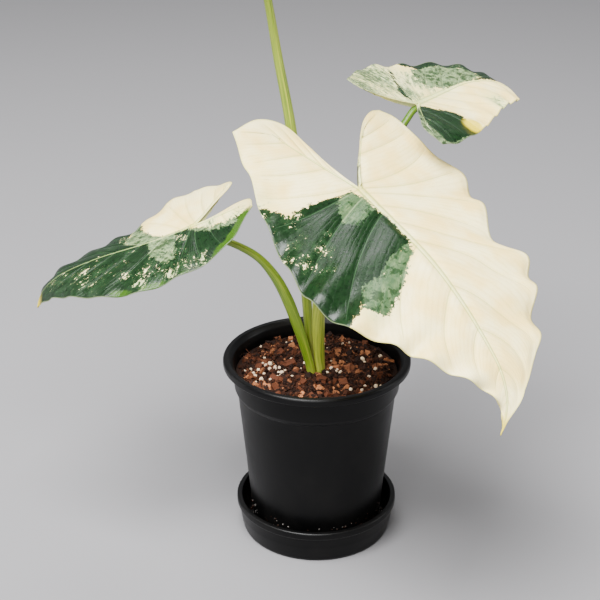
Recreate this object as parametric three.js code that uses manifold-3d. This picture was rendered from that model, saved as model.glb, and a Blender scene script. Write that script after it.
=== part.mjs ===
// A variegated giant taro in a black pot on a black saucer.
// Millimetres, +Z up, the origin at the centre of the saucer's underside, +Y away from the viewer.
import * as THREE from "three";
import { mergeVertices } from "three/addons/utils/BufferGeometryUtils.js";
import Module from "manifold-3d";

const wasm = await Module();
wasm.setup();

// Pot and saucer sizes
const SIDES = 48;
const SAUCER_FLOOR = 2.4;
const SAUCER_HEIGHT = 30;
const SAUCER_LIP = 68.5;
const POT_TOP = 161;
const POT_LIP = 78;
const POT_FOOT = 53.8;
const POT_WALL = 1.8;
const POT_TAPER = 0.097;
const POT_STEP_Z = 131;
const POT_INNER_FLOOR = 7.4;
const DRAIN_HOLES = 6;
const DRAIN_RADIUS = 4;
const DRAIN_CIRCLE = 34;
const FOOT_NOTCHES = 4;

// Potting mix sizes
const MIX_TOP = 148;
const MIX_GAP = 0.3;
const STEM_X = -0.5;
const STEM_Y = -3.6;
const STEM_HOLE = 11.8;
const STEM_HOLE_FLOOR = 100;
const ROOTSTOCK_RADIUS = 10.8;
const ROOTSTOCK_TOP = 141;
const BARK_CHIPS = 34;
const PERLITE_BEADS = 36;
const MIX_SEED = 7;

// Vertices closer than this are joined after cuts.
const WELD = 0.03;

// Leaf sizes
const BLADE = 0.9;
const PETIOLE_SIDES = 8;

// Each leaf lies in its own flat frame: u to the right of the midrib, v along it from the petiole, in mm.
// An edge row is [place on the rib, u, v]. The place runs from -1 at the end of a lobe's rib,
// through 0 at the petiole, to 1 at the tip. A fourth number in an outer row lifts the margin, in mm.
// bend and yaw turn the midrib down and sideways, in degrees by v.
// fall is how far each half slopes down beside the midrib, at the midrib and at its margin, in degrees by v.
const LEAVES = {
  leaf_front: {
    at: [32, -38, 321], heading: -53, roll: -5, length: 235, width: 100,
    bend: [[-100, 40], [0, 19], [60, 17], [120, 29], [180, 38], [214, 66], [236, 58]],
    yaw: [[0, 0], [180, 3], [205, 14], [219, 48], [236, 80]],
    fall: {
      right: [[-90, 0, 8], [-20, 0, 12], [40, 8, 22], [240, 12, 26]],
      left: [[-90, -8, 0], [-20, -4, 4], [40, 3, 7], [240, 4, 12]],
    },
    lobe: { right: [40, -72], left: [44, -62] },
    outer: {
      right: [[-1, 70, -80], [-0.6, 78, -40], [-0.18, 89, 4], [0.05, 95, 45], [0.2, 98, 81], [0.34, 88, 115],
        [0.48, 66, 143], [0.62, 50, 163], [0.76, 29, 187], [0.88, 10.5, 206], [0.95, 3, 221], [1, 0, 235]],
      left: [[-1, 69, -77, 0], [-0.87, 80, -66, 1], [-0.62, 88, -44, 2], [-0.38, 97, -25, -1], [-0.14, 105, 2, 4],
        [-0.04, 101, 20, -2],
        [0.06, 99, 38, 4], [0.2, 81, 72, -3], [0.33, 92, 98, 4], [0.4, 84, 115, -2], [0.48, 76, 131, 4],
        [0.58, 60, 151, -4], [0.69, 51, 170, 3], [0.79, 32, 188, -1], [0.88, 14, 206, 1], [0.95, 3, 222, 0],
        [1, 0, 235, 0]],
    },
    inner: {
      right: [[-1, 70, -80], [-0.85, 44, -87], [-0.6, 24, -78], [-0.4, 15, -57], [-0.2, 9, -34], [0, 0, -3]],
      left: [[-1, 69, -77], [-0.93, 60, -77], [-0.8, 49, -70], [-0.6, 38, -57], [-0.4, 28, -42], [-0.2, 17, -24], [0, 0, -3]],
    },
    wave: { right: [3, 0.1], left: [0, 0] },
    rows: 36, columns: 4,
    petiole: [[3.4, -5.6, 141], [2.4, -6, 155], [1, -7.4, 185], [1.5, -10, 215], [6, -15, 250], [15, -23, 285],
      [26, -31.5, 309]],
    thickness: [3.9, 4.4, 5.2, 5.2, 4.4, 3.6, 3],
  },
  leaf_left: {
    at: [-98, -11, 281], heading: 189, roll: 0, length: 150, width: 60,
    bend: [[-60, 44], [-15, 40], [10, 20], [60, 16], [110, 28], [130, 48], [150, 80]],
    yaw: [[0, 0], [100, 12], [150, -2]],
    fall: {
      right: [[-60, 6, 22], [-10, -6, -6], [20, -6, -2], [55, 2, 10], [150, 4, 24]],
      left: [[-60, 6, 18], [0, 4, 24], [150, 12, 36]],
    },
    lobe: { right: [26, -40], left: [26, -42] },
    outer: {
      right: [[-1, 32, -40], [-0.55, 47, -22], [-0.1, 60, 10], [0.12, 54, 42], [0.3, 47, 71], [0.48, 40, 97],
        [0.66, 29, 120], [0.84, 15, 138], [1, 0, 150]],
      left: [[-1, 36, -50], [-0.55, 50, -20], [-0.1, 54, 13], [0.12, 57, 42], [0.3, 52, 70], [0.48, 40, 96],
        [0.66, 26, 120], [0.84, 12, 138], [1, 0, 150]],
    },
    inner: {
      right: [[-1, 32, -40], [-0.8, 24, -42], [-0.55, 16, -36], [-0.3, 10, -22], [0, 0, -3]],
      left: [[-1, 36, -50], [-0.8, 26, -51], [-0.55, 17, -40], [-0.3, 9, -21], [0, 0, -3]],
    },
    wave: { right: [1.2, 0.2], left: [1.2, 0] },
    rows: 20, columns: 3,
    petiole: [[-3.4, -9.8, 141], [-5, -10, 152], [-9.4, -10.2, 171], [-16.6, -11, 196], [-24.4, -12, 218.5],
      [-34, -12.5, 238], [-47, -13, 254.5], [-64, -12.5, 265], [-84, -11.5, 272]],
    thickness: [3.3, 3.5, 4, 4.6, 4.8, 4.3, 3.4, 3, 2.7],
  },
  leaf_back: {
    at: [83, 76, 354.5], heading: 58, roll: 15, length: 148, width: 60,
    bend: [[-70, 20], [0, 3], [60, -6], [95, 3], [125, 22], [148, 52]],
    yaw: [[0, 0], [60, 8], [100, 26], [148, 30]],
    fall: {
      right: [[-60, 2, 18], [0, -7, 7], [150, 11, 14]],
      left: [[-60, -16, 0], [0, -9, -2], [150, 10, 15]],
    },
    lobe: { right: [32, -44], left: [30, -46] },
    outer: {
      right: [[-1, 52, -52], [-0.55, 57, -23], [-0.1, 57, 12], [0.12, 51, 42], [0.3, 45, 68], [0.48, 38, 93],
        [0.66, 27, 116], [0.84, 14, 135], [1, 0, 148]],
      left: [[-1, 44, -56], [-0.55, 54, -24], [-0.1, 60, 14], [0.12, 53, 43], [0.3, 44, 67], [0.48, 37, 92],
        [0.66, 29, 115], [0.84, 16, 134], [1, 0, 148]],
    },
    inner: {
      right: [[-1, 52, -52], [-0.8, 32, -50], [-0.55, 20, -35], [-0.3, 10, -20], [0, 0, -3]],
      left: [[-1, 44, -56], [-0.8, 31, -57], [-0.55, 21, -39], [-0.3, 10, -20], [0, 0, -3]],
    },
    wave: { right: [2, 0.1], left: [1.6, 0] },
    rows: 22, columns: 3,
    petiole: [[3.6, 2.2, 141], [3, 3, 170], [4, 7, 205], [14, 18, 245], [32, 34, 285], [54, 52, 320], [71.5, 66, 340.5],
      [79, 73.5, 349]],
    thickness: [3.1, 3.3, 3.6, 3.8, 3.8, 3.6, 3.3, 2.9],
  },
  leaf_tall: {
    at: [-60, 8, 562], heading: 162, roll: 0, length: 178, width: 75,
    bend: [[-80, 24], [0, 8], [60, 6], [110, 16], [150, 34], [178, 60]],
    yaw: [[0, 0], [100, -4], [178, -12]],
    fall: {
      right: [[-70, -8, 4], [0, -4, 6], [60, 4, 14], [180, 8, 22]],
      left: [[-70, -8, 4], [0, -4, 8], [60, 4, 16], [180, 8, 24]],
    },
    lobe: { right: [32, -52], left: [32, -52] },
    outer: {
      right: [[-1, 50, -62], [-0.58, 62, -30], [-0.14, 70, 8], [0.1, 70, 44], [0.27, 64, 76], [0.44, 53, 105],
        [0.61, 38, 132], [0.8, 19, 158], [1, 0, 178]],
      left: [[-1, 50, -60], [-0.58, 63, -28], [-0.14, 71, 10], [0.1, 70, 46], [0.27, 63, 78], [0.44, 51, 107],
        [0.61, 36, 134], [0.8, 18, 159], [1, 0, 178]],
    },
    inner: {
      right: [[-1, 50, -62], [-0.8, 32, -64], [-0.55, 18, -50], [-0.3, 9, -28], [0, 0, -3]],
      left: [[-1, 50, -60], [-0.8, 32, -62], [-0.55, 18, -48], [-0.3, 9, -27], [0, 0, -3]],
    },
    wave: { right: [2.2, 0.1], left: [2.4, 0.4] },
    rows: 22, columns: 3,
    petiole: [[-4.4, -1, 141], [-5.4, -0.5, 160], [-8, 2.5, 200], [-13.5, 8, 280], [-21.2, 12, 354],
      [-30.8, 12.5, 409], [-38.2, 12, 454], [-54, 10, 535], [-57, 9, 553]],
    thickness: [3.3, 3.5, 4.2, 4.6, 4.5, 3.9, 3.5, 3, 2.8],
  },
};

// Colours
const BLACK_PLASTIC = new THREE.MeshStandardMaterial({ color: 0x1b1b1d, roughness: 0.45, metalness: 0 });
const MIX = new THREE.MeshStandardMaterial({ color: 0x3d281d, roughness: 0.95, metalness: 0 });
const CREAM_LEAF = new THREE.MeshStandardMaterial({ color: 0xeee7cf, roughness: 0.5, metalness: 0 });
const GREEN_LEAF = new THREE.MeshStandardMaterial({ color: 0x2f5a36, roughness: 0.45, metalness: 0 });
const PALE_LEAF = new THREE.MeshStandardMaterial({ color: 0x9fae86, roughness: 0.5, metalness: 0 });
const STEM = new THREE.MeshStandardMaterial({ color: 0x9dae45, roughness: 0.5, metalness: 0 });

const degrees = Math.PI / 180;

// A closed geometry as a solid.
function solid(geometry) {
  const bare = geometry.index ? geometry.toNonIndexed() : geometry.clone();
  bare.deleteAttribute("normal");
  bare.deleteAttribute("uv");
  const merged = mergeVertices(bare, 1e-4);
  const tri = [];
  for (let i = 0; i < merged.index.count; i += 3) {
    const [a, b, c] = [0, 1, 2].map((k) => merged.index.getX(i + k));
    if (a !== b && b !== c && c !== a) tri.push(a, b, c);
  }
  return new wasm.Manifold(new wasm.Mesh({
    numProp: 3,
    vertProperties: new Float32Array(merged.attributes.position.array),
    triVerts: new Uint32Array(tri),
  }));
}

// A solid back as a geometry.
function geometryOf(body) {
  const mesh = body.getMesh();
  const geometry = new THREE.BufferGeometry();
  geometry.setAttribute("position", new THREE.BufferAttribute(new Float32Array(mesh.vertProperties), 3));
  geometry.setIndex(new THREE.BufferAttribute(new Uint32Array(mesh.triVerts), 1));
  geometry.computeVertexNormals();
  return geometry;
}

// A turned shape round +Z from [radius, height] points.
function turned(points, sides = SIDES) {
  const profile = points.map(([r, z]) => new THREE.Vector2(r, z));
  return new THREE.LatheGeometry(profile, sides).rotateX(Math.PI / 2);
}

// The main shell of a solid: scraps that a cut leaves are dropped, and hollows that a join seals are filled.
function mainShell(body) {
  return body.simplify(WELD).decompose().sort((a, b) => b.volume() - a.volume())[0];
}

// A repeatable random number from 0 to 1.
function seeded(seed) {
  let state = seed;
  return () => {
    state = (state * 1664525 + 1013904223) % 4294967296;
    return state / 4294967296;
  };
}

// A smooth value through rows of numbers, at x from 0 to rows - 1.
function smoothRow(rows, x) {
  const last = rows.length - 1;
  const at = Math.min(Math.max(x, 0), last - 1e-9);
  const i = Math.floor(at);
  const f = at - i;
  return rows[0].map((_, k) => {
    const b = rows[i][k];
    const c = rows[i + 1][k];
    const a = i > 0 ? rows[i - 1][k] : 2 * b - c;
    const d = i + 2 <= last ? rows[i + 2][k] : 2 * c - b;
    return 0.5 * (2 * b + (c - a) * f + (2 * a - 5 * b + 4 * c - d) * f * f + (3 * b - a - 3 * c + d) * f ** 3);
  });
}

// A straight-line value of a table [[x, value, ...], ...].
function lookUp(table, x, column = 1) {
  if (x <= table[0][0]) return table[0][column];
  for (let i = 1; i < table.length; i += 1) {
    const [x0, x1] = [table[i - 1][0], table[i][0]];
    if (x <= x1) return table[i - 1][column] + ((table[i][column] - table[i - 1][column]) * (x - x0)) / (x1 - x0);
  }
  return table[table.length - 1][column];
}

// The curved surface of one leaf: flat leaf coordinates to space.
class LeafForm {
  constructor(leaf) {
    this.leaf = leaf;
    const h = leaf.heading * degrees;
    const r = leaf.roll * degrees;
    const side = new THREE.Vector3(Math.sin(h), -Math.cos(h), 0);
    const up = new THREE.Vector3(0, 0, 1);
    this.forward = new THREE.Vector3(Math.cos(h), Math.sin(h), 0);
    this.side = side.clone().multiplyScalar(Math.cos(r)).addScaledVector(up, -Math.sin(r));
    this.up = up.clone().multiplyScalar(Math.cos(r)).addScaledVector(side, Math.sin(r));
    this.step = 1;
    this.spine = new Map([[0, [0, 0, 0]]]);
    for (const way of [1, -1]) {
      let [x, y, z] = [0, 0, 0];
      for (let i = 0; i < leaf.length + 12; i += 1) {
        const v = (i + 0.5) * way * this.step;
        const bend = lookUp(leaf.bend, v) * degrees;
        const yaw = lookUp(leaf.yaw, v) * degrees;
        x += way * this.step * Math.cos(bend) * Math.cos(yaw);
        y += way * this.step * Math.cos(bend) * Math.sin(yaw);
        z -= way * this.step * Math.sin(bend);
        this.spine.set((i + 1) * way, [x, y, z]);
      }
    }
  }

  place(u, v, lift = 0) {
    const { leaf } = this;
    const i = Math.floor(v / this.step);
    const f = v / this.step - i;
    const [a, b] = [this.spine.get(i), this.spine.get(i + 1)];
    const [x, y, z] = a.map((value, k) => value + (b[k] - value) * f);
    const bend = lookUp(leaf.bend, v) * degrees;
    const yaw = lookUp(leaf.yaw, v) * degrees;
    const sign = u >= 0 ? 1 : -1;
    const table = leaf.fall[sign > 0 ? "right" : "left"];
    const start = lookUp(table, v, 1) * degrees;
    const turn = (lookUp(table, v, 2) * degrees - start) / leaf.width || 1e-9;
    const end = start + turn * Math.abs(u);
    const across = (Math.sin(end) - Math.sin(start)) / turn;
    const down = (Math.cos(end) - Math.cos(start)) / turn;
    const sideways = sign * (across + lift * Math.sin(end));
    const height = down + lift * Math.cos(end);
    const ahead = this.forward.clone().multiplyScalar(Math.cos(yaw)).addScaledVector(this.side, Math.sin(yaw));
    const beside = this.side.clone().multiplyScalar(Math.cos(yaw)).addScaledVector(this.forward, -Math.sin(yaw));
    const normal = this.up.clone().multiplyScalar(Math.cos(bend)).addScaledVector(ahead, Math.sin(bend));
    return new THREE.Vector3(...leaf.at)
      .addScaledVector(this.forward, x)
      .addScaledVector(this.side, y)
      .addScaledVector(this.up, z)
      .addScaledVector(beside, sideways)
      .addScaledVector(normal, height);
  }

  // The rib point in flat coordinates: a lobe's rib below 0, the midrib above.
  rib(half, place) {
    const [u, v] = this.leaf.lobe[half];
    return place < 0 ? [u * (-place) ** 1.15, v * -place] : [0, Math.min(place, 1) * this.leaf.length];
  }

  // A point of a half blade: across from the rib to the edge, on the row that leaves the rib at a place.
  point(half, panel, place, across) {
    const rows = this.leaf[panel][half];
    const last = rows.length - 1;
    const row = rowAt(rows, place);
    const [, u, v, rise = 0] = row >= last ? rows[last] : smoothRow(rows, row);
    const [ru, rv] = this.rib(half, place);
    const sign = half === "right" ? 1 : -1;
    let lift = 0;
    if (panel === "outer") {
      const [size, phase] = this.leaf.wave[half];
      const ends = Math.min((last - row) / 1.5, 1) * Math.min(row, 1);
      lift = across ** 2.2 * (rise + size * ends * Math.sin(2 * Math.PI * (row + phase)));
    }
    return this.place(sign * (ru + (u - ru) * across), rv + (v - rv) * across, lift);
  }
}

// The row number at which an edge table reaches a place on the rib.
function rowAt(rows, place) {
  let [low, high] = [0, rows.length - 1];
  if (place <= rows[low][0]) return low;
  if (place >= rows[high][0]) return high;
  for (let i = 0; i < 40; i += 1) {
    const middle = (low + high) / 2;
    if (smoothRow(rows, middle)[0] < place) low = middle;
    else high = middle;
  }
  return (low + high) / 2;
}

// The leaf's middle surface as triangles that face up.
function leafSheet(form) {
  const { leaf } = form;
  const edge = leaf.outer.right;
  const last = edge.length - 1;
  const petioleRow = rowAt(edge, 0);
  const behind = Math.max(4, Math.round((leaf.rows * petioleRow) / last));
  const places = Array.from({ length: leaf.rows + 1 }, (_, i) => {
    if (i <= behind) return i === behind ? 0 : smoothRow(edge, (petioleRow * i) / behind)[0];
    return i === leaf.rows ? 1 : smoothRow(edge, petioleRow + ((last - petioleRow) * (i - behind)) / (leaf.rows - behind))[0];
  });
  const triangles = [];
  for (const half of ["right", "left"]) {
    for (const panel of ["outer", "inner"]) {
      const rows = panel === "outer" ? leaf.rows : behind;
      const grid = places.slice(0, rows + 1).map((place) =>
        Array.from({ length: leaf.columns + 1 }, (_, k) => form.point(half, panel, place, k / leaf.columns)));
      const flip = (half === "right") !== (panel === "outer");
      for (let i = 0; i < rows; i += 1) {
        for (let k = 0; k < leaf.columns; k += 1) {
          const [a, b, c, d] = [grid[i][k], grid[i][k + 1], grid[i + 1][k + 1], grid[i + 1][k]];
          for (const [p, q, r] of [[a, b, c], [a, c, d]]) triangles.push(flip ? [p, r, q] : [p, q, r]);
        }
      }
    }
  }
  return triangles;
}

// A sheet of triangles made into a solid of even thickness, split alike on both faces.
function thickened(triangles, thickness) {
  const keys = new Map();
  const points = [];
  const index = (p) => {
    const key = [p.x, p.y, p.z].map((value) => Math.round(value * 2000)).join();
    if (!keys.has(key)) {
      keys.set(key, points.length);
      points.push(p);
    }
    return keys.get(key);
  };
  const faces = triangles.map((t) => t.map(index)).filter(([a, b, c]) => a !== b && b !== c && c !== a);
  const normals = points.map(() => new THREE.Vector3());
  const edges = new Map();
  for (const face of faces) {
    const [a, b, c] = face.map((i) => points[i]);
    const normal = b.clone().sub(a).cross(c.clone().sub(a));
    face.forEach((i, k) => {
      normals[i].add(normal);
      const j = face[(k + 1) % 3];
      if (edges.has(`${j},${i}`)) edges.delete(`${j},${i}`);
      else edges.set(`${i},${j}`, [i, j]);
    });
  }
  const top = points.map((p, i) => p.clone().addScaledVector(normals[i].normalize(), thickness / 2));
  const under = points.map((p, i) => p.clone().addScaledVector(normals[i], -thickness / 2));
  const out = [];
  for (const [a, b, c] of faces) out.push(top[a], top[b], top[c], under[a], under[c], under[b]);
  for (const [a, b] of edges.values()) out.push(top[b], top[a], under[a], top[b], under[a], under[b]);
  return new THREE.BufferGeometry().setFromPoints(out);
}

// A tube with closed ends along a curve, its radius changing along it, and its section as wide as flatness says.
function taperedTube(points, radii, sides, steps) {
  const curve = new THREE.CatmullRomCurve3(points);
  const frames = curve.computeFrenetFrames(steps, false);
  const table = radii.map((radius, i) => [i / (radii.length - 1), radius]);
  const rings = [];
  for (let i = 0; i <= steps; i += 1) {
    const centre = curve.getPointAt(i / steps);
    const radius = lookUp(table, i / steps);
    rings.push(Array.from({ length: sides }, (_, k) => {
      const angle = (2 * Math.PI * k) / sides;
      return centre.clone()
        .addScaledVector(frames.normals[i], radius * Math.cos(angle))
        .addScaledVector(frames.binormals[i], radius * Math.sin(angle));
    }));
  }
  const out = [];
  for (let i = 0; i < steps; i += 1) {
    for (let k = 0; k < sides; k += 1) {
      const m = (k + 1) % sides;
      const [a, b, c, d] = [rings[i][k], rings[i][m], rings[i + 1][m], rings[i + 1][k]];
      out.push(a, b, c, a, c, d);
    }
  }
  for (let k = 1; k < sides - 1; k += 1) {
    out.push(rings[0][0], rings[0][k + 1], rings[0][k]);
    out.push(rings[steps][0], rings[steps][k], rings[steps][k + 1]);
  }
  return new THREE.BufferGeometry().setFromPoints(out);
}

// The petiole from the rootstock to the blade. Its foot is cut flat.
function petioleSolid(leaf) {
  const points = leaf.petiole.map((p) => new THREE.Vector3(...p));
  points[0].z -= 6;
  const tube = solid(taperedTube(points, leaf.thickness, PETIOLE_SIDES, 16));
  const block = new THREE.BoxGeometry(60, 60, 40).translate(points[0].x, points[0].y, ROOTSTOCK_TOP - 20);
  return tube.subtract(solid(block));
}

// A rib under the blade along flat points, thinning to its end.
function ribSolid(form, flat, from, to, steps) {
  const points = flat.map(([u, v], i) => {
    const radius = from + ((to - from) * i) / (flat.length - 1);
    return form.place(u, v, -radius);
  });
  return solid(taperedTube(points, [from, to], 5, steps));
}

function leafSolid(leaf) {
  const form = new LeafForm(leaf);
  let body = solid(thickened(leafSheet(form), BLADE));
  const along = Array.from({ length: 9 }, (_, i) => [0, leaf.length * (0.004 + 0.1 * i)]);
  body = body.add(ribSolid(form, along, leaf.thickness.at(-1), 0.9, 14));
  for (const half of ["right", "left"]) {
    const sign = half === "right" ? 1 : -1;
    const back = Array.from({ length: 6 }, (_, i) => {
      const [u, v] = form.rib(half, -0.02 - 0.15 * i);
      return [sign * u, v];
    });
    body = body.add(ribSolid(form, back, leaf.thickness.at(-1) * 0.7, 0.8, 7));
  }
  const root = form.place(0, leaf.length * 0.015, -leaf.thickness.at(-1) - 0.2);
  const reach = { ...leaf, petiole: [...leaf.petiole, root.toArray()], thickness: [...leaf.thickness, leaf.thickness.at(-1)] };
  return mainShell(body.add(petioleSolid(reach)));
}

// The saucer: a floor, a slightly flared wall and a rolled lip that stands out a little.
function saucerGeometry() {
  return turned([
    [0, 0], [60.6, 0], [62.4, 0.6], [63.4, 2.4], [65.6, 14], [66.7, 23.4], [68, 23.9],
    [SAUCER_LIP, 25], [SAUCER_LIP, 28.9], [67.6, SAUCER_HEIGHT], [64.4, SAUCER_HEIGHT], [63.7, 29.2],
    [63.2, 14], [61.9, 4.4], [60, SAUCER_FLOOR], [0, SAUCER_FLOOR],
  ]);
}

function potRadius(z) {
  return POT_FOOT + POT_TAPER * (z - 3);
}

// The pot: foot ring, tapered wall, a step out to the collar, and the flat lip.
function potSolid() {
  const inside = (z) => potRadius(z) - POT_WALL;
  let body = solid(turned([
    [0, 5.4], [50.4, 5.4], [50.8, SAUCER_FLOOR], [53.2, SAUCER_FLOOR], [POT_FOOT, 3.4], [potRadius(POT_STEP_Z), POT_STEP_Z],
    [67.9, 133], [68.9, 135.4], [70.3, 154.4], [76.8, 154.4], [POT_LIP, 155.6], [POT_LIP, 159.4], [76.8, POT_TOP],
    [73.2, POT_TOP], [72.2, 160.2], [69.6, 157.4], [68.4, 152], [67.3, 137], [66.1, 133.6],
    [inside(POT_STEP_Z), POT_STEP_Z - 1], [inside(12), 12], [50.6, POT_INNER_FLOOR], [0, POT_INNER_FLOOR],
  ]));
  for (let i = 0; i < DRAIN_HOLES; i += 1) {
    const angle = (2 * Math.PI * (i + 0.5)) / DRAIN_HOLES;
    const hole = new THREE.CylinderGeometry(DRAIN_RADIUS, DRAIN_RADIUS, 12, 12)
      .rotateX(Math.PI / 2)
      .translate(DRAIN_CIRCLE * Math.cos(angle), DRAIN_CIRCLE * Math.sin(angle), 6);
    body = body.subtract(solid(hole));
  }
  for (let i = 0; i < FOOT_NOTCHES; i += 1) {
    const notch = new THREE.BoxGeometry(12, 8, 3.2)
      .translate(POT_FOOT - 2, 0, SAUCER_FLOOR + 0.2)
      .rotateZ((2 * Math.PI * (i + 0.5)) / FOOT_NOTCHES);
    body = body.subtract(solid(notch));
  }
  return body;
}

// The potting mix: a filled cup shape with a rough top, bark chips and perlite beads, and a plain hole for the stems.
function mixSolid() {
  const random = seeded(MIX_SEED);
  const inside = (z) => potRadius(z) - POT_WALL - MIX_GAP;
  const side = [[50.2, POT_INNER_FLOOR], [inside(12), 12], [inside(POT_STEP_Z), POT_STEP_Z - 1], [65.7, 133.6],
    [66.9, 137], [67.7, MIX_TOP - 1]];
  const rings = [64, 57, 48, 38, 27, 17, 0];
  const shape = turned([[0, POT_INNER_FLOOR], ...side, ...rings.map((r) => [r, MIX_TOP])], 48);
  // Only the inner rings of the top are roughened, each point once.
  const position = shape.attributes.position;
  for (let i = 0; i < position.count; i += 1) {
    const [x, y, z] = [position.getX(i), position.getY(i), position.getZ(i)];
    if (z > MIX_TOP - 0.01) {
      const swell = 0.8 * Math.sin(x * 0.13 + 1) * Math.cos(y * 0.11) + 0.5 * Math.sin(x * 0.31 + y * 0.27);
      position.setZ(i, z + swell);
    }
  }
  let body = solid(shape);
  const pieces = [];
  for (let i = 0; i < BARK_CHIPS + PERLITE_BEADS; i += 1) {
    const bark = i < BARK_CHIPS;
    const reach = 20 + 42 * Math.sqrt(random());
    const angle = 2 * Math.PI * random();
    const size = bark ? 3.2 + 2.6 * random() : 1.5 + 0.9 * random();
    const piece = bark
      ? new THREE.BoxGeometry(2 * size, size * (0.8 + 0.5 * random()), size * 0.6)
      : new THREE.OctahedronGeometry(size);
    piece.rotateX((random() - 0.5) * 0.7).rotateY((random() - 0.5) * 0.7).rotateZ(2 * Math.PI * random());
    piece.translate(reach * Math.cos(angle), reach * Math.sin(angle), MIX_TOP + (bark ? 0.5 : 0.9));
    pieces.push(solid(piece));
  }
  body = wasm.Manifold.union([body, ...pieces]);
  const hole = new THREE.CylinderGeometry(STEM_HOLE, STEM_HOLE, 80, 28)
    .rotateX(Math.PI / 2)
    .translate(STEM_X, STEM_Y, STEM_HOLE_FLOOR + 40);
  return mainShell(body.subtract(solid(hole)));
}

// The rootstock: a short upright stem with a flat top that carries the petioles.
function rootstockGeometry() {
  return turned([
    [0, STEM_HOLE_FLOOR], [7, STEM_HOLE_FLOOR], [9.6, STEM_HOLE_FLOOR + 5], [ROOTSTOCK_RADIUS, STEM_HOLE_FLOOR + 18],
    [ROOTSTOCK_RADIUS, ROOTSTOCK_TOP], [0, ROOTSTOCK_TOP],
  ], 24).translate(STEM_X, STEM_Y, 0);
}

const plant = new THREE.Group();

function addMesh(name, geometry, material) {
  const mesh = new THREE.Mesh(geometry, material);
  mesh.name = name;
  plant.add(mesh);
}

addMesh("saucer", saucerGeometry(), BLACK_PLASTIC);
addMesh("pot", geometryOf(potSolid()), BLACK_PLASTIC);
addMesh("potting_mix", geometryOf(mixSolid()), MIX);
addMesh("rootstock", rootstockGeometry(), STEM);
const leafMaterials = { leaf_front: CREAM_LEAF, leaf_left: GREEN_LEAF, leaf_back: PALE_LEAF, leaf_tall: GREEN_LEAF };
for (const [name, leaf] of Object.entries(LEAVES)) {
  addMesh(name, geometryOf(leafSolid(leaf)), leafMaterials[name]);
}

export default plant;
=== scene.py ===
# The looks of a potted variegated giant taro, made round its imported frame.
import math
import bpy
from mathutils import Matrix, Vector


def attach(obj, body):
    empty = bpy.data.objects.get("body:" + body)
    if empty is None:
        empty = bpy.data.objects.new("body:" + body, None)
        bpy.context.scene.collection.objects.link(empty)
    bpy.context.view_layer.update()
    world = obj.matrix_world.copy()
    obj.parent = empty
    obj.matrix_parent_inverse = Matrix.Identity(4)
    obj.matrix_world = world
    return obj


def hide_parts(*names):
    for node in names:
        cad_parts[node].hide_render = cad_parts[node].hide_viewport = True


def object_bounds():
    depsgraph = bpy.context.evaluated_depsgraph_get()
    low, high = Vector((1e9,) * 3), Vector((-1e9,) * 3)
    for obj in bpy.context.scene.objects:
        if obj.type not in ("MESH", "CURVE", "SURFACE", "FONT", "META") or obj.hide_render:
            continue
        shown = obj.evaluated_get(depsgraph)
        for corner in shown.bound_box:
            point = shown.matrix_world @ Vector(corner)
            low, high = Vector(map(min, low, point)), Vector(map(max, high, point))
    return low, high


bl_info = {
    "name": "Potted variegated giant taro",
    "version": (1, 0, 0),
    "blender": (4, 5, 0),
    "location": "View3D > Sidebar > Taro",
    "description": "Builds a variegated giant taro in a black pot on a saucer, piece by piece",
    "category": "Add Mesh",
}

from functools import reduce

import bpy
import numpy as np
from bpy.props import FloatProperty, FloatVectorProperty, IntProperty, PointerProperty
from mathutils import Vector, noise

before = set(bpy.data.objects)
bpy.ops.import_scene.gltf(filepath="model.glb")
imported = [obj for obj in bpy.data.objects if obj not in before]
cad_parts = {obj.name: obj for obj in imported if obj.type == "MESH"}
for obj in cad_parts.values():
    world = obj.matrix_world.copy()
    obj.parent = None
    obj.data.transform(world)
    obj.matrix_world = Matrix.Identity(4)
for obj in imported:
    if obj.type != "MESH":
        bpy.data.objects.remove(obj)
CAD_BOUNDS = [list(corner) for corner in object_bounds()]
MM = 0.001

# The saucer's and the pot's outlines as [radius, height] in mm, and what stands on them
SAUCER_FLOOR = 2.4
SAUCER_OUTLINE = [
    (0, 0), (60.6, 0), (62.4, 0.6), (63.4, 2.4), (65.6, 14), (66.7, 23.4), (68, 23.9), (68.5, 25),
    (68.5, 28.9), (67.6, 30), (64.4, 30), (63.7, 29.2), (63.2, 14), (61.9, 4.4), (60, SAUCER_FLOOR),
    (0, SAUCER_FLOOR),
]
POT_FOOT = 53.8
POT_WALL = 1.8
POT_TAPER = 0.097
POT_STEP_Z = 131
POT_LIP = 78
POT_TOP = 161
POT_UNDER_FLOOR = 5.4
POT_INNER_FLOOR = 7.4
DRAIN_HOLES = 6
DRAIN_RADIUS = 4
DRAIN_CIRCLE = 34
FOOT_NOTCHES = 4
MIX_TOP = 148
MIX_GAP = 0.3
STEM_X = -0.5
STEM_Y = -3.6
STEM_HOLE = 11.8
STEM_HOLE_FLOOR = 100
ROOTSTOCK_RADIUS = 10.8
ROOTSTOCK_TOP = 141
ROOTSTOCK_RINGS = 7

# Powers: how side veins and lobe ribs bow, how waves keep to the margin, and how columns gather at the rib
VEIN_BOW = 1.35
LOBE_BOW = 1.15
WAVE_GATHER = 2.2
COLUMN_SPREAD = 1.25

# In mm: a vein's half width, how far from the margin swell, veins and thickness fade, and least and
# most of the gap between veins
VEIN_WIDTH = 0.8
SWELL_FADE = 9
VEIN_FADE = 25
THIN_FADE = 12
VEIN_GAPS = (1, 60)

# The swell between two veins as a share of their gap, and how many steps of a mm tell points apart
SWELL_SHARE = 0.07
WELD_STEPS = 2000

# Where the sheath fades, in mm along the petiole, the number of fine ribs round it,
# and the least angle of a sharp edge beside a cut hole, in degrees
SHEATH_FADE = (30, 110)
PETIOLE_RIBS = 11
SHARP_ANGLE = 40

# How finely the petioles and the top of the mix are cut, and the radius of that top's inmost ring, in mm
PETIOLE_SIDES = 40
PETIOLE_STEPS = 170
MIX_SEGMENTS = 120
MIX_INNER = 8.4

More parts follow.
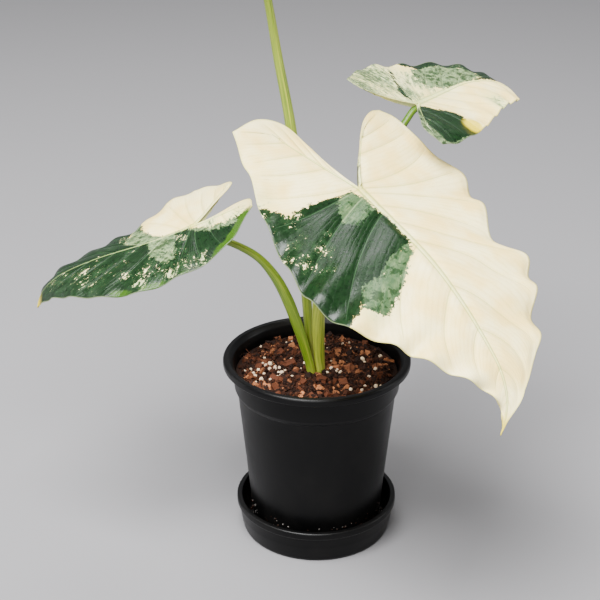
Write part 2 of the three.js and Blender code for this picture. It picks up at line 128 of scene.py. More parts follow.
# The photograph's camera: its place in metres, how far it looks down in degrees, lens and sensor in mm
CAMERA_PLACE = (-0.014, -1.037, 0.687)
CAMERA_DOWN = 24.63
CAMERA_LENS = 84
CAMERA_SENSOR = 36

# How far the floor reaches and the point that the lamps are aimed at, in metres, and the tint of the sky
FLOOR_REACH = 8.0
LAMP_AIM = (0, 0, 0.25)
SKY_TINT = (0.95, 0.96, 1.0)

# lime spots are painted light coming through the blade.
# Each leaf lies in its own flat frame: u to the right of the midrib, v along it from the petiole, in mm.
# An edge row is [place on the rib, u, v]. The place runs from -1 at the end of a lobe's rib,
# through 0 at the petiole, to 1 at the tip. A fourth number in an outer row lifts the margin, in mm.
# bend and yaw turn the midrib down and sideways, in degrees by v.
# fall is how far each half slopes down beside the midrib, at the midrib and at its margin, in degrees by v.
# at is where the petiole meets the blade, and width is how far out the fall reaches its margin's angle, in mm.
# A lobe is the end of its rib, as (u, v), and a wave is (height in mm, phase in turns).
# petiole lists points in space, and thickness the petiole's radius at even steps up it, in mm.
# veins lists [place on the rib, place at the margin]. green and grey are outlines in (u, v), with u below 0
# on the left half. flecks, lime, yellow and mottles are spots as (u, v, radius, strength).
# paleness is mostly the grey green's, and quilt scales the swell. A shade below 0 pales the petiole,
# partly its own paler skin and partly painted light, and a shade above 0 darkens it as painted shade.
# rows and columns are the faces along and across each half of the blade.
SIDE_VEINS = [
    (-1, -1), (-0.84, -0.9), (-0.6, -0.72), (-0.3, -0.5), (-0.06, -0.24), (0.01, -0.02), (0.06, 0.17),
    (0.17, 0.36), (0.3, 0.53), (0.44, 0.69), (0.59, 0.82), (0.74, 0.91), (0.88, 0.97), (1, 1),
]
SINUS_VEINS = [(-1, -1), (-0.8, -0.86), (-0.6, -0.7), (-0.42, -0.52), (-0.24, -0.32), (0, 0)]
LEAVES = {
    "leaf_front": {
        "at": (32, -38, 321), "heading": -53, "roll": -5, "length": 235, "width": 100,
        "paleness": 0.15, "quilt": 1, "shade": -0.6, "rows": 222, "columns": 58,
        "bend": [(-100, 40), (0, 19), (60, 17), (120, 29), (180, 38), (214, 66), (236, 58)],
        "yaw": [(0, 0), (180, 3), (205, 14), (219, 48), (236, 80)],
        "fall": {
            "right": [(-90, 0, 8), (-20, 0, 12), (40, 8, 22), (240, 12, 26)],
            "left": [(-90, -8, 0), (-20, -4, 4), (40, 3, 7), (240, 4, 12)],
        },
        "lobe": {"right": (40, -72), "left": (44, -62)},
        "outer": {
            "right": [
                (-1, 70, -80), (-0.6, 78, -40), (-0.18, 89, 4), (0.05, 95, 45), (0.2, 98, 81),
                (0.34, 88, 115), (0.48, 66, 143), (0.62, 50, 163), (0.76, 29, 187), (0.88, 10.5, 206),
                (0.95, 3, 221), (1, 0, 235),
            ],
            "left": [
                (-1, 69, -77, 0), (-0.87, 80, -66, 1), (-0.62, 88, -44, 2), (-0.38, 97, -25, -1),
                (-0.14, 105, 2, 4), (-0.04, 101, 20, -2), (0.06, 99, 38, 4), (0.2, 81, 72, -3),
                (0.33, 92, 98, 4), (0.4, 84, 115, -2), (0.48, 76, 131, 4), (0.58, 60, 151, -4),
                (0.69, 51, 170, 3), (0.79, 32, 188, -1), (0.88, 14, 206, 1), (0.95, 3, 222, 0),
                (1, 0, 235, 0),
            ],
        },
        "inner": {
            "right": [
                (-1, 70, -80), (-0.85, 44, -87), (-0.6, 24, -78), (-0.4, 15, -57), (-0.2, 9, -34),
                (0, 0, -3),
            ],
            "left": [
                (-1, 69, -77), (-0.93, 60, -77), (-0.8, 49, -70), (-0.6, 38, -57), (-0.4, 28, -42),
                (-0.2, 17, -24), (0, 0, -3),
            ],
        },
        "wave": {"right": (3, 0.1), "left": (0, 0)},
        "petiole": [
            (3.4, -5.6, 141), (2.4, -6, 155), (1, -7.4, 185), (1.5, -10, 215), (6, -15, 250),
            (15, -23, 285), (26, -31.5, 309),
        ],
        "thickness": [3.9, 4.4, 5.2, 5.2, 4.4, 3.6, 3],
        "veins": {
            "right": [
                (-1, -1), (-0.85, -0.88), (-0.65, -0.7), (-0.4, -0.56), (-0.06, -0.4), (-0.01, -0.12),
                (0.03, 0.15), (0.13, 0.35), (0.31, 0.54), (0.5, 0.76), (0.66, 0.87), (0.8, 0.94), (1, 1),
            ],
            "left": [
                (-1, -1), (-0.85, -0.9), (-0.6, -0.72), (-0.1, -0.5), (-0.02, -0.18), (0.02, 0.04),
                (0.09, 0.17), (0.18, 0.33), (0.28, 0.52), (0.49, 0.77), (0.66, 0.88), (0.8, 0.95), (1, 1),
            ],
        },
        "green": [
            [
                (100, -14), (82, -9), (80, -3), (76, 5), (71, 8), (59, 5), (42, 3), (23, 2), (12, 3),
                (7, 9), (4, 20), (2, 35), (2, 60), (3, 68), (8, 72), (15, 75), (21, 80), (32, 83), (42, 91),
                (48, 99), (59, 96), (64, 104), (69, 109), (79, 115), (88, 122), (118, 112), (118, 20),
            ],
        ],
        "grey": [
            [
                (3, 68), (10, 80), (19, 88), (26, 95), (32, 103), (38, 108), (48, 116), (56, 122),
                (64, 116), (70, 111), (59, 90), (42, 88), (30, 78), (12, 70),
            ],
            [
                (10, 0), (22, 3), (29, 9), (34, 20), (35, 31), (30, 36), (22, 33), (13, 29), (6, 27),
                (3, 22), (5, 12),
            ],
        ],
        "flecks": [
            (64, 45, 10, 1.1), (52, 34, 7, 0.85), (90, -2, 14, 1), (70, 10, 14, 0.85), (82, 50, 12, 1),
            (94, 38, 12, 1), (94, 18, 10, 0.95), (78, 30, 12, 0.75), (73, 64, 10, 0.7), (30, 92, 9, 0.5),
            (62, 110, 12, 0.4),
        ],
        "lime": [(3, 20, 7, 0.5), (1, 45, 5, 0.3)],
        "yellow": [(0, 236, 17, 1), (0, 0, 9, 0.45)],
        "mottles": [(80, -12, 12, 0.5), (66, 116, 10, 0.6), (20, 82, 8, 0.4)],
    },
    "leaf_left": {
        "at": (-98, -11, 281), "heading": 189, "roll": 0, "length": 150, "width": 60,
        "paleness": 0.6, "quilt": 0.35, "shade": -0.1, "rows": 150, "columns": 46,
        "bend": [(-60, 44), (-15, 40), (10, 20), (60, 16), (110, 28), (130, 48), (150, 80)],
        "yaw": [(0, 0), (100, 12), (150, -2)],
        "fall": {
            "right": [(-60, 6, 22), (-10, -6, -6), (20, -6, -2), (55, 2, 10), (150, 4, 24)],
            "left": [(-60, 6, 18), (0, 4, 24), (150, 12, 36)],
        },
        "lobe": {"right": (26, -40), "left": (26, -42)},
        "outer": {
            "right": [
                (-1, 32, -40), (-0.55, 47, -22), (-0.1, 60, 10), (0.12, 54, 42), (0.3, 47, 71),
                (0.48, 40, 97), (0.66, 29, 120), (0.84, 15, 138), (1, 0, 150),
            ],
            "left": [
                (-1, 36, -50), (-0.55, 50, -20), (-0.1, 54, 13), (0.12, 57, 42), (0.3, 52, 70),
                (0.48, 40, 96), (0.66, 26, 120), (0.84, 12, 138), (1, 0, 150),
            ],
        },
        "inner": {
            "right": [(-1, 32, -40), (-0.8, 24, -42), (-0.55, 16, -36), (-0.3, 10, -22), (0, 0, -3)],
            "left": [(-1, 36, -50), (-0.8, 26, -51), (-0.55, 17, -40), (-0.3, 9, -21), (0, 0, -3)],
        },
        "wave": {"right": (1.2, 0.2), "left": (1.2, 0)},
        "petiole": [
            (-3.4, -9.8, 141), (-5, -10, 152), (-9.4, -10.2, 171), (-16.6, -11, 196), (-24.4, -12, 218.5),
            (-34, -12.5, 238), (-47, -13, 254.5), (-64, -12.5, 265), (-84, -11.5, 272),
        ],
        "thickness": [3.3, 3.5, 4, 4.6, 4.8, 4.3, 3.4, 3, 2.7],
        "veins": {"right": SIDE_VEINS, "left": SIDE_VEINS},
        "green": [
            [
                (0, 4), (-9, -4), (-18, -13), (-26, -24), (-33, -35), (-36, -46), (-40, -60), (-75, -60),
                (-75, 60), (-40, 165), (40, 165), (66, 57), (38, 55), (15, 58), (5, 40), (1, 20),
            ],
        ],
        "grey": [
            [(62, 50), (25, 42), (9, 33), (1, 22), (1, 44), (12, 60), (38, 56), (64, 58)],
            [(0, 16), (-20, 17), (-34, 20), (-36, 28), (-22, 37), (-8, 38), (0, 40)],
            [(0, 5), (-9, -3), (-18, -12), (-33, -34), (-38, -34), (-28, -17), (-14, -4), (-6, 3)],
        ],
        "flecks": [
            (-23, 34, 8, 0.9), (-39, 41, 10, 1), (-34, 58, 9, 1), (-18, 57, 8, 0.9), (-14, 92, 11, 0.95),
            (-32, 84, 9, 0.9), (-6, 52, 8, 0.8), (-12, 12, 10, 1), (-46, 14, 16, 1), (-18, 100, 16, 0.7),
            (28, 62, 12, 0.9), (14, 76, 16, 0.6), (-48, 46, 12, 1), (-24, 84, 26, 0.78), (-30, 16, 9, 0.9),
            (-40, 34, 24, 0.8), (-6, 116, 20, 0.75), (-47, 2, 12, 1.1), (-49, 24, 14, 1.15),
            (-42, 42, 10, 1.05),
        ],
        "lime": [
            (-44, -34, 15, 1.8), (-56, 38, 12, 0.75), (-58, 16, 12, 0.55), (-48, -14, 12, 0.7),
            (-50, 62, 12, 0.7),
        ],
        "yellow": [(0, 150, 12, 1), (0, 0, 6, 0.5)],
        "mottles": [(-14, -12, 10, 0.8), (-32, -34, 12, 0.75)],
    },
    "leaf_back": {
        "at": (83, 76, 354.5), "heading": 58, "roll": 15, "length": 148, "width": 60,
        "paleness": 0.6, "quilt": 0.6, "shade": 0.9, "rows": 150, "columns": 46,
        "bend": [(-70, 20), (0, 3), (60, -6), (95, 3), (125, 22), (148, 52)],
        "yaw": [(0, 0), (60, 8), (100, 26), (148, 30)],
        "fall": {
            "right": [(-60, 2, 18), (0, -7, 7), (150, 11, 14)],
            "left": [(-60, -16, 0), (0, -9, -2), (150, 10, 15)],
        },
        "lobe": {"right": (32, -44), "left": (30, -46)},
        "outer": {
            "right": [
                (-1, 52, -52), (-0.55, 57, -23), (-0.1, 57, 12), (0.12, 51, 42), (0.3, 45, 68),
                (0.48, 38, 93), (0.66, 27, 116), (0.84, 14, 135), (1, 0, 148),
            ],
            "left": [
                (-1, 44, -56), (-0.55, 54, -24), (-0.1, 60, 14), (0.12, 53, 43), (0.3, 44, 67),
                (0.48, 37, 92), (0.66, 29, 115), (0.84, 16, 134), (1, 0, 148),
            ],
        },
        "inner": {
            "right": [(-1, 52, -52), (-0.8, 32, -50), (-0.55, 20, -35), (-0.3, 10, -20), (0, 0, -3)],
            "left": [(-1, 44, -56), (-0.8, 31, -57), (-0.55, 21, -39), (-0.3, 10, -20), (0, 0, -3)],
        },
        "wave": {"right": (2, 0.1), "left": (1.6, 0)},
        "petiole": [
            (3.6, 2.2, 141), (3, 3, 170), (4, 7, 205), (14, 18, 245), (32, 34, 285), (54, 52, 320),
            (71.5, 66, 340.5), (79, 73.5, 349),
        ],
        "thickness": [3.1, 3.3, 3.6, 3.8, 3.8, 3.6, 3.3, 2.9],
        "veins": {"right": SIDE_VEINS, "left": SIDE_VEINS},
        "green": [
            [(5, -6), (19, 3), (31, 11), (46, 6), (64, 8), (66, -30), (56, -60), (30, -58), (8, -25)],
            [
                (-60, 46), (-46, 46), (-36, 54), (-30, 76), (-19, 96), (-8, 100), (-2, 84), (-2, 104),
                (-8, 124), (-20, 132), (-60, 104),
            ],
            [(-2, -3), (-8, -2), (-16, 3), (-24, 8), (-46, 28), (-44, 22), (-24, 3), (-16, -5), (-10, -6)],
        ],
        "grey": [
            [(-1, 50), (-10, 36), (-22, 32), (-38, 46), (-34, 76), (-20, 98), (-8, 102), (-1, 84)],
            [
                (3, -8), (13, -22), (28, -38), (52, -44), (58, -14), (66, -30), (62, -60), (30, -62),
                (4, -30),
            ],
        ],
        "flecks": [
            (-40, 10, 26, 1), (-50, -20, 24, 1), (-30, -34, 18, 0.8), (-26, 34, 14, 0.9),
            (26, -28, 12, 0.7), (-34, 92, 12, 0.7), (-14, 12, 10, 0.7), (44, -44, 10, 0.6),
            (30, 84, 12, 0.5),
        ],
        "lime": [(0, 0, 6, 0.5)],
        "yellow": [(50, 6, 9, 1.4), (0, 147, 10, 0.7), (0, 0, 6, 0.4)],
        "mottles": [
            (-46, -6, 44, 1), (-36, -44, 30, 1), (-16, 4, 20, 1), (-22, 36, 24, 0.9), (34, 82, 15, 0.85),
        ],
    },
    "leaf_tall": {
        "at": (-60, 8, 562), "heading": 162, "roll": 0, "length": 178, "width": 75,
        "paleness": 0.6, "quilt": 0.6, "shade": -0.3, "rows": 160, "columns": 46,
        "bend": [(-80, 24), (0, 8), (60, 6), (110, 16), (150, 34), (178, 60)],
        "yaw": [(0, 0), (100, -4), (178, -12)],
        "fall": {
            "right": [(-70, -8, 4), (0, -4, 6), (60, 4, 14), (180, 8, 22)],
            "left": [(-70, -8, 4), (0, -4, 8), (60, 4, 16), (180, 8, 24)],
        },
        "lobe": {"right": (32, -52), "left": (32, -52)},
        "outer": {
            "right": [
                (-1, 50, -62), (-0.58, 62, -30), (-0.14, 70, 8), (0.1, 70, 44), (0.27, 64, 76),
                (0.44, 53, 105), (0.61, 38, 132), (0.8, 19, 158), (1, 0, 178),
            ],
            "left": [
                (-1, 50, -60), (-0.58, 63, -28), (-0.14, 71, 10), (0.1, 70, 46), (0.27, 63, 78),
                (0.44, 51, 107), (0.61, 36, 134), (0.8, 18, 159), (1, 0, 178),
            ],
        },
        "inner": {
            "right": [(-1, 50, -62), (-0.8, 32, -64), (-0.55, 18, -50), (-0.3, 9, -28), (0, 0, -3)],
            "left": [(-1, 50, -60), (-0.8, 32, -62), (-0.55, 18, -48), (-0.3, 9, -27), (0, 0, -3)],
        },
        "wave": {"right": (2.2, 0.1), "left": (2.4, 0.4)},
        "petiole": [
            (-4.4, -1, 141), (-5.4, -0.5, 160), (-8, 2.5, 200), (-13.5, 8, 280), (-21.2, 12, 354),
            (-30.8, 12.5, 409), (-38.2, 12, 454), (-54, 10, 535), (-57, 9, 553),
        ],
        "thickness": [3.3, 3.5, 4.2, 4.6, 4.5, 3.9, 3.5, 3, 2.8],
        "veins": {"right": SIDE_VEINS, "left": SIDE_VEINS},
        "green": [
            [
                (3, 2), (14, -14), (36, -40), (50, -80), (90, -80), (90, 60), (60, 150), (20, 190),
                (4, 120), (3, 40),
            ],
            [(-2, 60), (-24, 70), (-50, 84), (-80, 96), (-50, 150), (-12, 150), (-2, 110)],
        ],
        "grey": [
            [(3, 60), (30, 66), (62, 84), (50, 120), (24, 100), (4, 84)],
            [(-2, 54), (-24, 62), (-70, 78), (-70, 92), (-40, 84), (-16, 74)],
        ],
        "flecks": [
            (40, 10, 18, 0.7), (24, 60, 14, 0.8), (52, 70, 16, 0.6), (20, 130, 16, 0.6), (-40, 90, 16, 0.8),
            (-20, 130, 14, 0.6), (40, -30, 14, 0.6),
        ],
        "lime": [(0, 0, 8, 0.5), (58, 30, 10, 0.4)],
        "yellow": [(0, 177, 12, 1), (0, 0, 7, 0.4)],
        "mottles": [(-30, 30, 30, 0.5), (20, -30, 20, 0.4)],
    },
}


def a_colour(title, about, default):
    return FloatVectorProperty(name=title, description=about, subtype="COLOR", default=default)


def a_length(title, about, millimetres):
    return FloatProperty(name=title, description=about, default=millimetres * MM, unit="LENGTH")


def a_count(title, about, default, least=0):
    return IntProperty(name=title, description=about, default=default, min=least)


def a_power(title, about, default):
    return FloatProperty(name=title, description=about, default=default)


class TaroLeafSettings(bpy.types.PropertyGroup):
    blade: a_length("Blade", "Thickness of a blade", 0.9)
    margin: a_length("Margin", "Thickness at a blade's margin", 0.45)
    pillow: a_length("Swell", "Most that the blade swells up between two veins", 1.9)
    groove: a_length("Vein groove", "Depth of a side vein on the upper face", 0.3)
    ridge: a_length("Vein ridge", "Height of a side vein on the lower face", 0.6)
    cream: a_colour("Cream", "Cream tissue", (0.93, 0.70, 0.235))
    ivory: a_colour("Ivory", "The palest cream", (0.98, 0.85, 0.43))
    # tan is partly the cream's own tone and partly painted shade in the grooves beside the side veins
    tan: a_colour("Tan", "Cream at edges and folds", (0.68, 0.54, 0.15))
    rim: a_colour("Rim", "The thin edge of the cream", (0.62, 0.60, 0.16))
    through: a_colour("Green through cream", "Cream over mottled green", (0.46, 0.54, 0.25))
    dark: a_colour("Dark green", "The deepest green", (0.0010, 0.0085, 0.0014))
    green: a_colour("Green", "The middle green", (0.0038, 0.022, 0.0030))
    grey_deep: a_colour("Grey green, deep", "Green tissue under a thin cream layer", (0.024, 0.064, 0.022))
    grey_pale: a_colour("Grey green, pale", "Green tissue under a thick cream layer", (0.27, 0.34, 0.16))
    vein_line: a_colour("Vein", "Vein lines in the cream", (0.46, 0.45, 0.12))
    rib_side: a_colour("Beside the midrib", "The line on each side of the midrib", (0.26, 0.34, 0.08))
    rib_cream: a_colour("Midrib in cream", "The midrib where it crosses cream", (0.60, 0.66, 0.24))
    rib_green: a_colour("Midrib in green", "The midrib where it crosses green", (0.30, 0.40, 0.14))
    rib_grey: a_colour("Midrib in grey green", "The midrib where it crosses grey green", (0.50, 0.56, 0.24))
    underside: a_colour("Underside", "The paler lower face", (0.50, 0.52, 0.36))
    # lime is painted light: the glow of light coming through the thin blade
    lime: a_colour("Lime", "Green where light comes through", (0.030, 0.085, 0.0008))
    yellow: a_colour("Yellow", "Drip tips and old spots", (0.62, 0.48, 0.005))
    stalk: a_colour("Petiole", "A petiole's lime green", (0.115, 0.215, 0.002))
    stalk_pale: a_colour("Petiole pale", "Pale streaks on a petiole", (0.47, 0.49, 0.06))
    stalk_dark: a_colour("Petiole dark", "Dark streaks on a petiole", (0.050, 0.125, 0.003))
    sheath: a_colour("Sheath", "The dry edges of a petiole's sheath", (0.50, 0.46, 0.16))
    stalk_foot: a_colour("Petiole foot", "A petiole where it leaves the mix", (0.36, 0.38, 0.05))


class TaroPotSettings(bpy.types.PropertyGroup):
    black: a_colour("Black", "The pot's plastic", (0.0010, 0.0010, 0.0011))
    worn: a_colour("Rubbed", "Rubbed and dusty plastic", (0.0042, 0.0039, 0.0036))
    dust: a_colour("Dust", "Grains of dust on the plastic", (0.03, 0.029, 0.027))
    segments: a_count("Segments", "Faces round a turned shape", 144, 24)
    rounding: a_length("Rounding", "Rounding of the outline's corners", 0.7)


class TaroMixSettings(bpy.types.PropertyGroup):
    seed: a_count("Seed", "Seed of every random draw in the mix", 7)
    bark: a_count("Bark", "Number of large bark chips", 100)
    perlite: a_count("Perlite", "Number of strewn perlite beads", 46)
    crumbs: a_count("Crumbs", "Number of peat and coir crumbs", 2600)
    fibres: a_count("Fibres", "Number of coir fibres", 190)
    soil: a_colour("Peat", "Dark peat and coir", (0.013, 0.0042, 0.0018))
    soil_pale: a_colour("Peat pale", "The palest peat and coir", (0.060, 0.020, 0.008))
    bark_red: a_colour("Bark red", "Reddish bark", (0.080, 0.022, 0.0075))
    bark_tan: a_colour("Bark tan", "Pale inner bark", (0.38, 0.145, 0.058))
    perlite_white: a_colour("Perlite white", "Perlite beads", (0.86, 0.68, 0.45))
    perlite_stained: a_colour("Perlite stained", "Perlite stained by peat", (0.62, 0.46, 0.32))
    damp: a_colour("Damp crumbs", "Pale damp crumbs at the pot's foot", (0.075, 0.070, 0.064))
    root_dark: a_colour("Rootstock dark", "Rings of the rootstock", (0.16, 0.09, 0.04))
    root_pale: a_colour("Rootstock pale", "Skin of the rootstock", (0.30, 0.26, 0.10))


class TaroStageSettings(bpy.types.PropertyGroup):
    floor: a_colour("Floor", "The plain pale floor", (0.19, 0.187, 0.193))
    key: a_power("Key light", "Power of the soft light above", 440.0)
    fill: a_power("Fill light", "Power of each side light", 6.5)
    sheen: a_power("Sheen light", "Power of the light above and behind", 20.0)
    sky: a_power("Surroundings", "Strength of the light all round", 0.38)


class NodeWork:
    """Short calls that build a node tree, for materials and for geometry."""

    def node(self, kind, inputs=(), **settings):
        """A node whose inputs are fed, by name or number, from sockets or with plain values."""
        made = self.tree.nodes.new(kind)
        for name, value in settings.items():
            setattr(made, name, value)
        for name, value in dict(inputs).items():
            self.feed(made.inputs[name], value)
        return made

    def feed(self, socket, value):
        if isinstance(value, bpy.types.NodeSocket):
            self.tree.links.new(value, socket)
        elif hasattr(value, "__len__") and len(value) == 3 and socket.type == "RGBA":
            socket.default_value = (*value, 1)
        else:
            socket.default_value = value

    def vector(self, operation, *values):
        return self.node("ShaderNodeVectorMath", enumerate(values), operation=operation).outputs[0]

    def scaled(self, vector, factor):
        return self.node("ShaderNodeVectorMath", {0: vector, "Scale": factor}, operation="SCALE").outputs[0]

    def joined(self, x=0.0, y=0.0, z=0.0):
        return self.node("ShaderNodeCombineXYZ", {"X": x, "Y": y, "Z": z}).outputs[0]


class ShaderWork(NodeWork):
    """Short calls that build one material."""

    def __init__(self, name):
        self.material = bpy.data.materials.new(name)
        self.material.use_nodes = True
        self.tree = self.material.node_tree
        self.surface = self.tree.nodes["Principled BSDF"]

    def math(self, operation, *values):
        return self.node("ShaderNodeMath", enumerate(values), operation=operation).outputs[0]

    def times(self, *values):
        return reduce(lambda one, other: self.math("MULTIPLY", one, other), values)

    def total(self, *values):
        return reduce(lambda one, other: self.math("ADD", one, other), values)

    def less(self, value, taken):
        return self.math("SUBTRACT", value, taken)

    def weighted(self, *pairs):
        """The sum of values, each times its weight."""
        return self.total(*(self.times(value, weight) for value, weight in pairs))

    def from_whole(self, value):
        """How far a value is from the nearest whole number."""
        return self.math("ABSOLUTE", self.less(value, self.math("ROUND", value)))

    def step(self, value, low, high, to_low=0.0, to_high=1.0):
        """A smooth step of a value from low to high."""
        parts = enumerate((value, low, high, to_low, to_high))
        return self.node("ShaderNodeMapRange", parts, interpolation_type="SMOOTHSTEP").outputs[0]

    def layered(self, base, *layers):
        """A colour under layers, each an amount and a tint."""
        for amount, tint in layers:
            base = self.node("ShaderNodeMix", {0: amount, 6: base, 7: tint}, data_type="RGBA").outputs[2]
        return base

    def noise(self, vector, scale, detail=3.0, roughness=0.55, stretch=None):
        if stretch:
            vector = self.vector("MULTIPLY", vector, stretch)
        made = self.node("ShaderNodeTexNoise", {
            "Vector": vector, "Scale": scale, "Detail": detail, "Roughness": roughness})
        return made.outputs["Fac"]

    def attribute(self, name, output="Vector"):
        return self.node("ShaderNodeAttribute", attribute_name=name).outputs[output]

    def parts(self, vector):
        return self.node("ShaderNodeSeparateXYZ", {0: vector}).outputs

    def place(self):
        return self.node("ShaderNodeTexCoord").outputs["Object"]

    def bump(self, height, distance, strength=1.0):
        made = self.node("ShaderNodeBump", {"Height": height, "Distance": distance, "Strength": strength})
        self.feed(self.surface.inputs["Normal"], made.outputs[0])

    def finish(self, colour, roughness, **constants):
        self.feed(self.surface.inputs["Base Color"], colour)
        self.feed(self.surface.inputs["Roughness"], roughness)
        for name, value in constants.items():
            self.feed(self.surface.inputs[name.replace("_", " ")], value)
        return self.material


def linked(name, data):
    """A new object in the scene, with the data given."""
    made = bpy.data.objects.new(name, data)
    bpy.context.scene.collection.objects.link(made)
    return made


def evaluated_mesh(piece):
    """A plain mesh of a piece with its modifiers applied."""
    return bpy.data.meshes.new_from_object(piece.evaluated_get(bpy.context.evaluated_depsgraph_get()))


def around(rows, columns):
    """The point numbers of rings of points, and the number of the next point round for each."""
    index = np.arange(rows * columns).reshape(rows, columns)
    return index, np.roll(index, -1, 1)


def catmull_rom(rows, x):
    """Smooth values through rows of numbers, at x from 0 to the last row."""
    rows = np.asarray(rows, float)
    last = len(rows) - 1
    at = np.clip(x, 0, last - 1e-9)
    i = np.floor(at).astype(int)
    f = (at - i)[..., None]
    ends = np.vstack((2 * rows[0] - rows[1], rows, 2 * rows[-1] - rows[-2]))
    a, b, c, d = (ends[i + k] for k in range(4))
    return 0.5 * (2 * b + (c - a) * f + (2 * a - 5 * b + 4 * c - d) * f**2 + (3 * b - a - 3 * c + d) * f**3)


def look_up(table, x, column=1):
    table = np.asarray(table, float)
    return np.interp(x, table[:, 0], table[:, column])


def smooth(x, low, high):
    t = np.clip((x - low) / (high - low), 0, 1)
    return t * t * (3 - 2 * t)


def rows_at(table, places):
    """The row numbers at which an edge table reaches places on the rib."""
    fine = np.linspace(0, len(table) - 1, 4001)
    return np.interp(places, catmull_rom(table, fine)[:, 0], fine)


class LeafForm:
    """The curved surface of one leaf: flat leaf coordinates to space, in mm."""

    def __init__(self, leaf):
        self.leaf = leaf
        heading, roll = np.radians((leaf["heading"], leaf["roll"]))
        side = np.array((math.sin(heading), -math.cos(heading), 0))
        up = np.array((0, 0, 1))
        self.forward = np.array((math.cos(heading), math.sin(heading), 0))
        self.side = side * math.cos(roll) - up * math.sin(roll)
        self.up = up * math.cos(roll) + side * math.sin(roll)
        # Stations lie 1 mm apart, from behind the lobes to past the tip.
        reach = leaf["length"] + 12
        self.stations = np.arange(-reach, reach + 1)
        middles = self.stations[:-1] + 0.5
        bend = np.radians(look_up(leaf["bend"], middles))
        yaw = np.radians(look_up(leaf["yaw"], middles))
        steps = np.stack((np.cos(bend) * np.cos(yaw), np.cos(bend) * np.sin(yaw), -np.sin(bend)), 1)
        spine = np.vstack((np.zeros(3), np.cumsum(steps, 0)))
        self.spine = spine - spine[reach]

    def place(self, half, u, v, lift=0.0):
        """Points in space, from u beside the midrib on the given half and v along it."""
        leaf = self.leaf
        sign = 1 if half == "right" else -1
        u, v, lift = np.broadcast_arrays(np.asarray(u, float), v, lift)
        x, y, z = (np.interp(v, self.stations, self.spine[:, k])[..., None] for k in range(3))
        bend = np.radians(look_up(leaf["bend"], v))[..., None]
        yaw = np.radians(look_up(leaf["yaw"], v))[..., None]
        fall = leaf["fall"][half]
        start = np.radians(look_up(fall, v, 1))
        turn = (np.radians(look_up(fall, v, 2)) - start) / leaf["width"]
        turn = np.where(np.abs(turn) < 1e-9, 1e-9, turn)
        end = start + turn * u
        sideways = (sign * ((np.sin(end) - np.sin(start)) / turn + lift * np.sin(end)))[..., None]
        height = ((np.cos(end) - np.cos(start)) / turn + lift * np.cos(end))[..., None]
        ahead = self.forward * np.cos(yaw) + self.side * np.sin(yaw)
        beside = self.side * np.cos(yaw) - self.forward * np.sin(yaw)
        normal = self.up * np.cos(bend) + ahead * np.sin(bend)
        flat = self.forward * x + self.side * y + self.up * z
        return np.array(leaf["at"]) + flat + beside * sideways + normal * height

    def rib(self, half, place):
        """The rib's points in flat coordinates: a lobe's rib below 0, the midrib above."""
        u, v = self.leaf["lobe"][half]
        behind = np.maximum(-place, 0)
        along = np.where(place < 0, v * behind, place * self.leaf["length"])
        return np.stack((u * behind**LOBE_BOW, along), -1)

    def rib_radius(self, place):
        start = self.leaf["thickness"][-1]
        ahead = np.interp(place, (0, 0.8, 1), (start, 0.9, 0.35))
        behind = np.interp(-place, (0, 0.77, 1), (start * 0.75, 0.8, 0.4))
        return np.where(place < 0, behind, ahead)


def inside_by(outlines, u, v):
    """How far points lie inside the nearest of several outlines, in mm, below 0 outside them."""
    best = np.full(u.shape, -1e3)
    for outline in outlines:
        corners = np.array(outline, float)
        nearest = np.full(u.shape, 1e9)
        crossings = np.zeros(u.shape, int)
        for (au, av), (bu, bv) in zip(corners, np.roll(corners, -1, 0)):
            along_u, along_v = bu - au, bv - av
            t = ((u - au) * along_u + (v - av) * along_v) / (along_u**2 + along_v**2)
            t = np.clip(t, 0, 1)
            nearest = np.minimum(nearest, np.hypot(u - au - t * along_u, v - av - t * along_v))
            meets = (av > v) != (bv > v)
            crossings += meets & (u < au + (v - av) * along_u / (along_v or 1e-9))
        best = np.maximum(best, np.where(crossings % 2, nearest, -nearest))
    return best


def spots(marks, u, v):
    total = np.zeros(u.shape)
    for at_u, at_v, radius, strength in marks:
        near = np.exp(-(((u - at_u) ** 2 + (v - at_v) ** 2) / radius**2))
        total = np.maximum(total, strength * near)
    return total


class Sheet:
    """Grids of one blade's middle surface, gathered with the values that its material reads."""

    def __init__(self):
        self.count = 0
        self.values = {}
        self.quads = []

    def add(self, flip, **grids):
        rows, columns = grids["point"].shape[:2]
        index = self.count + np.arange(rows * columns).reshape(rows, columns)
        quads = np.stack((index[:-1, :-1], index[:-1, 1:], index[1:, 1:], index[1:, :-1]), -1).reshape(-1, 4)
        self.quads.append(quads[:, ::-1] if flip else quads)
        for name, grid in grids.items():
            self.values.setdefault(name, []).append(grid.reshape(rows * columns, -1))
        self.count += rows * columns

    def joined(self):
        return np.vstack(self.quads), {name: np.vstack(grids) for name, grids in self.values.items()}


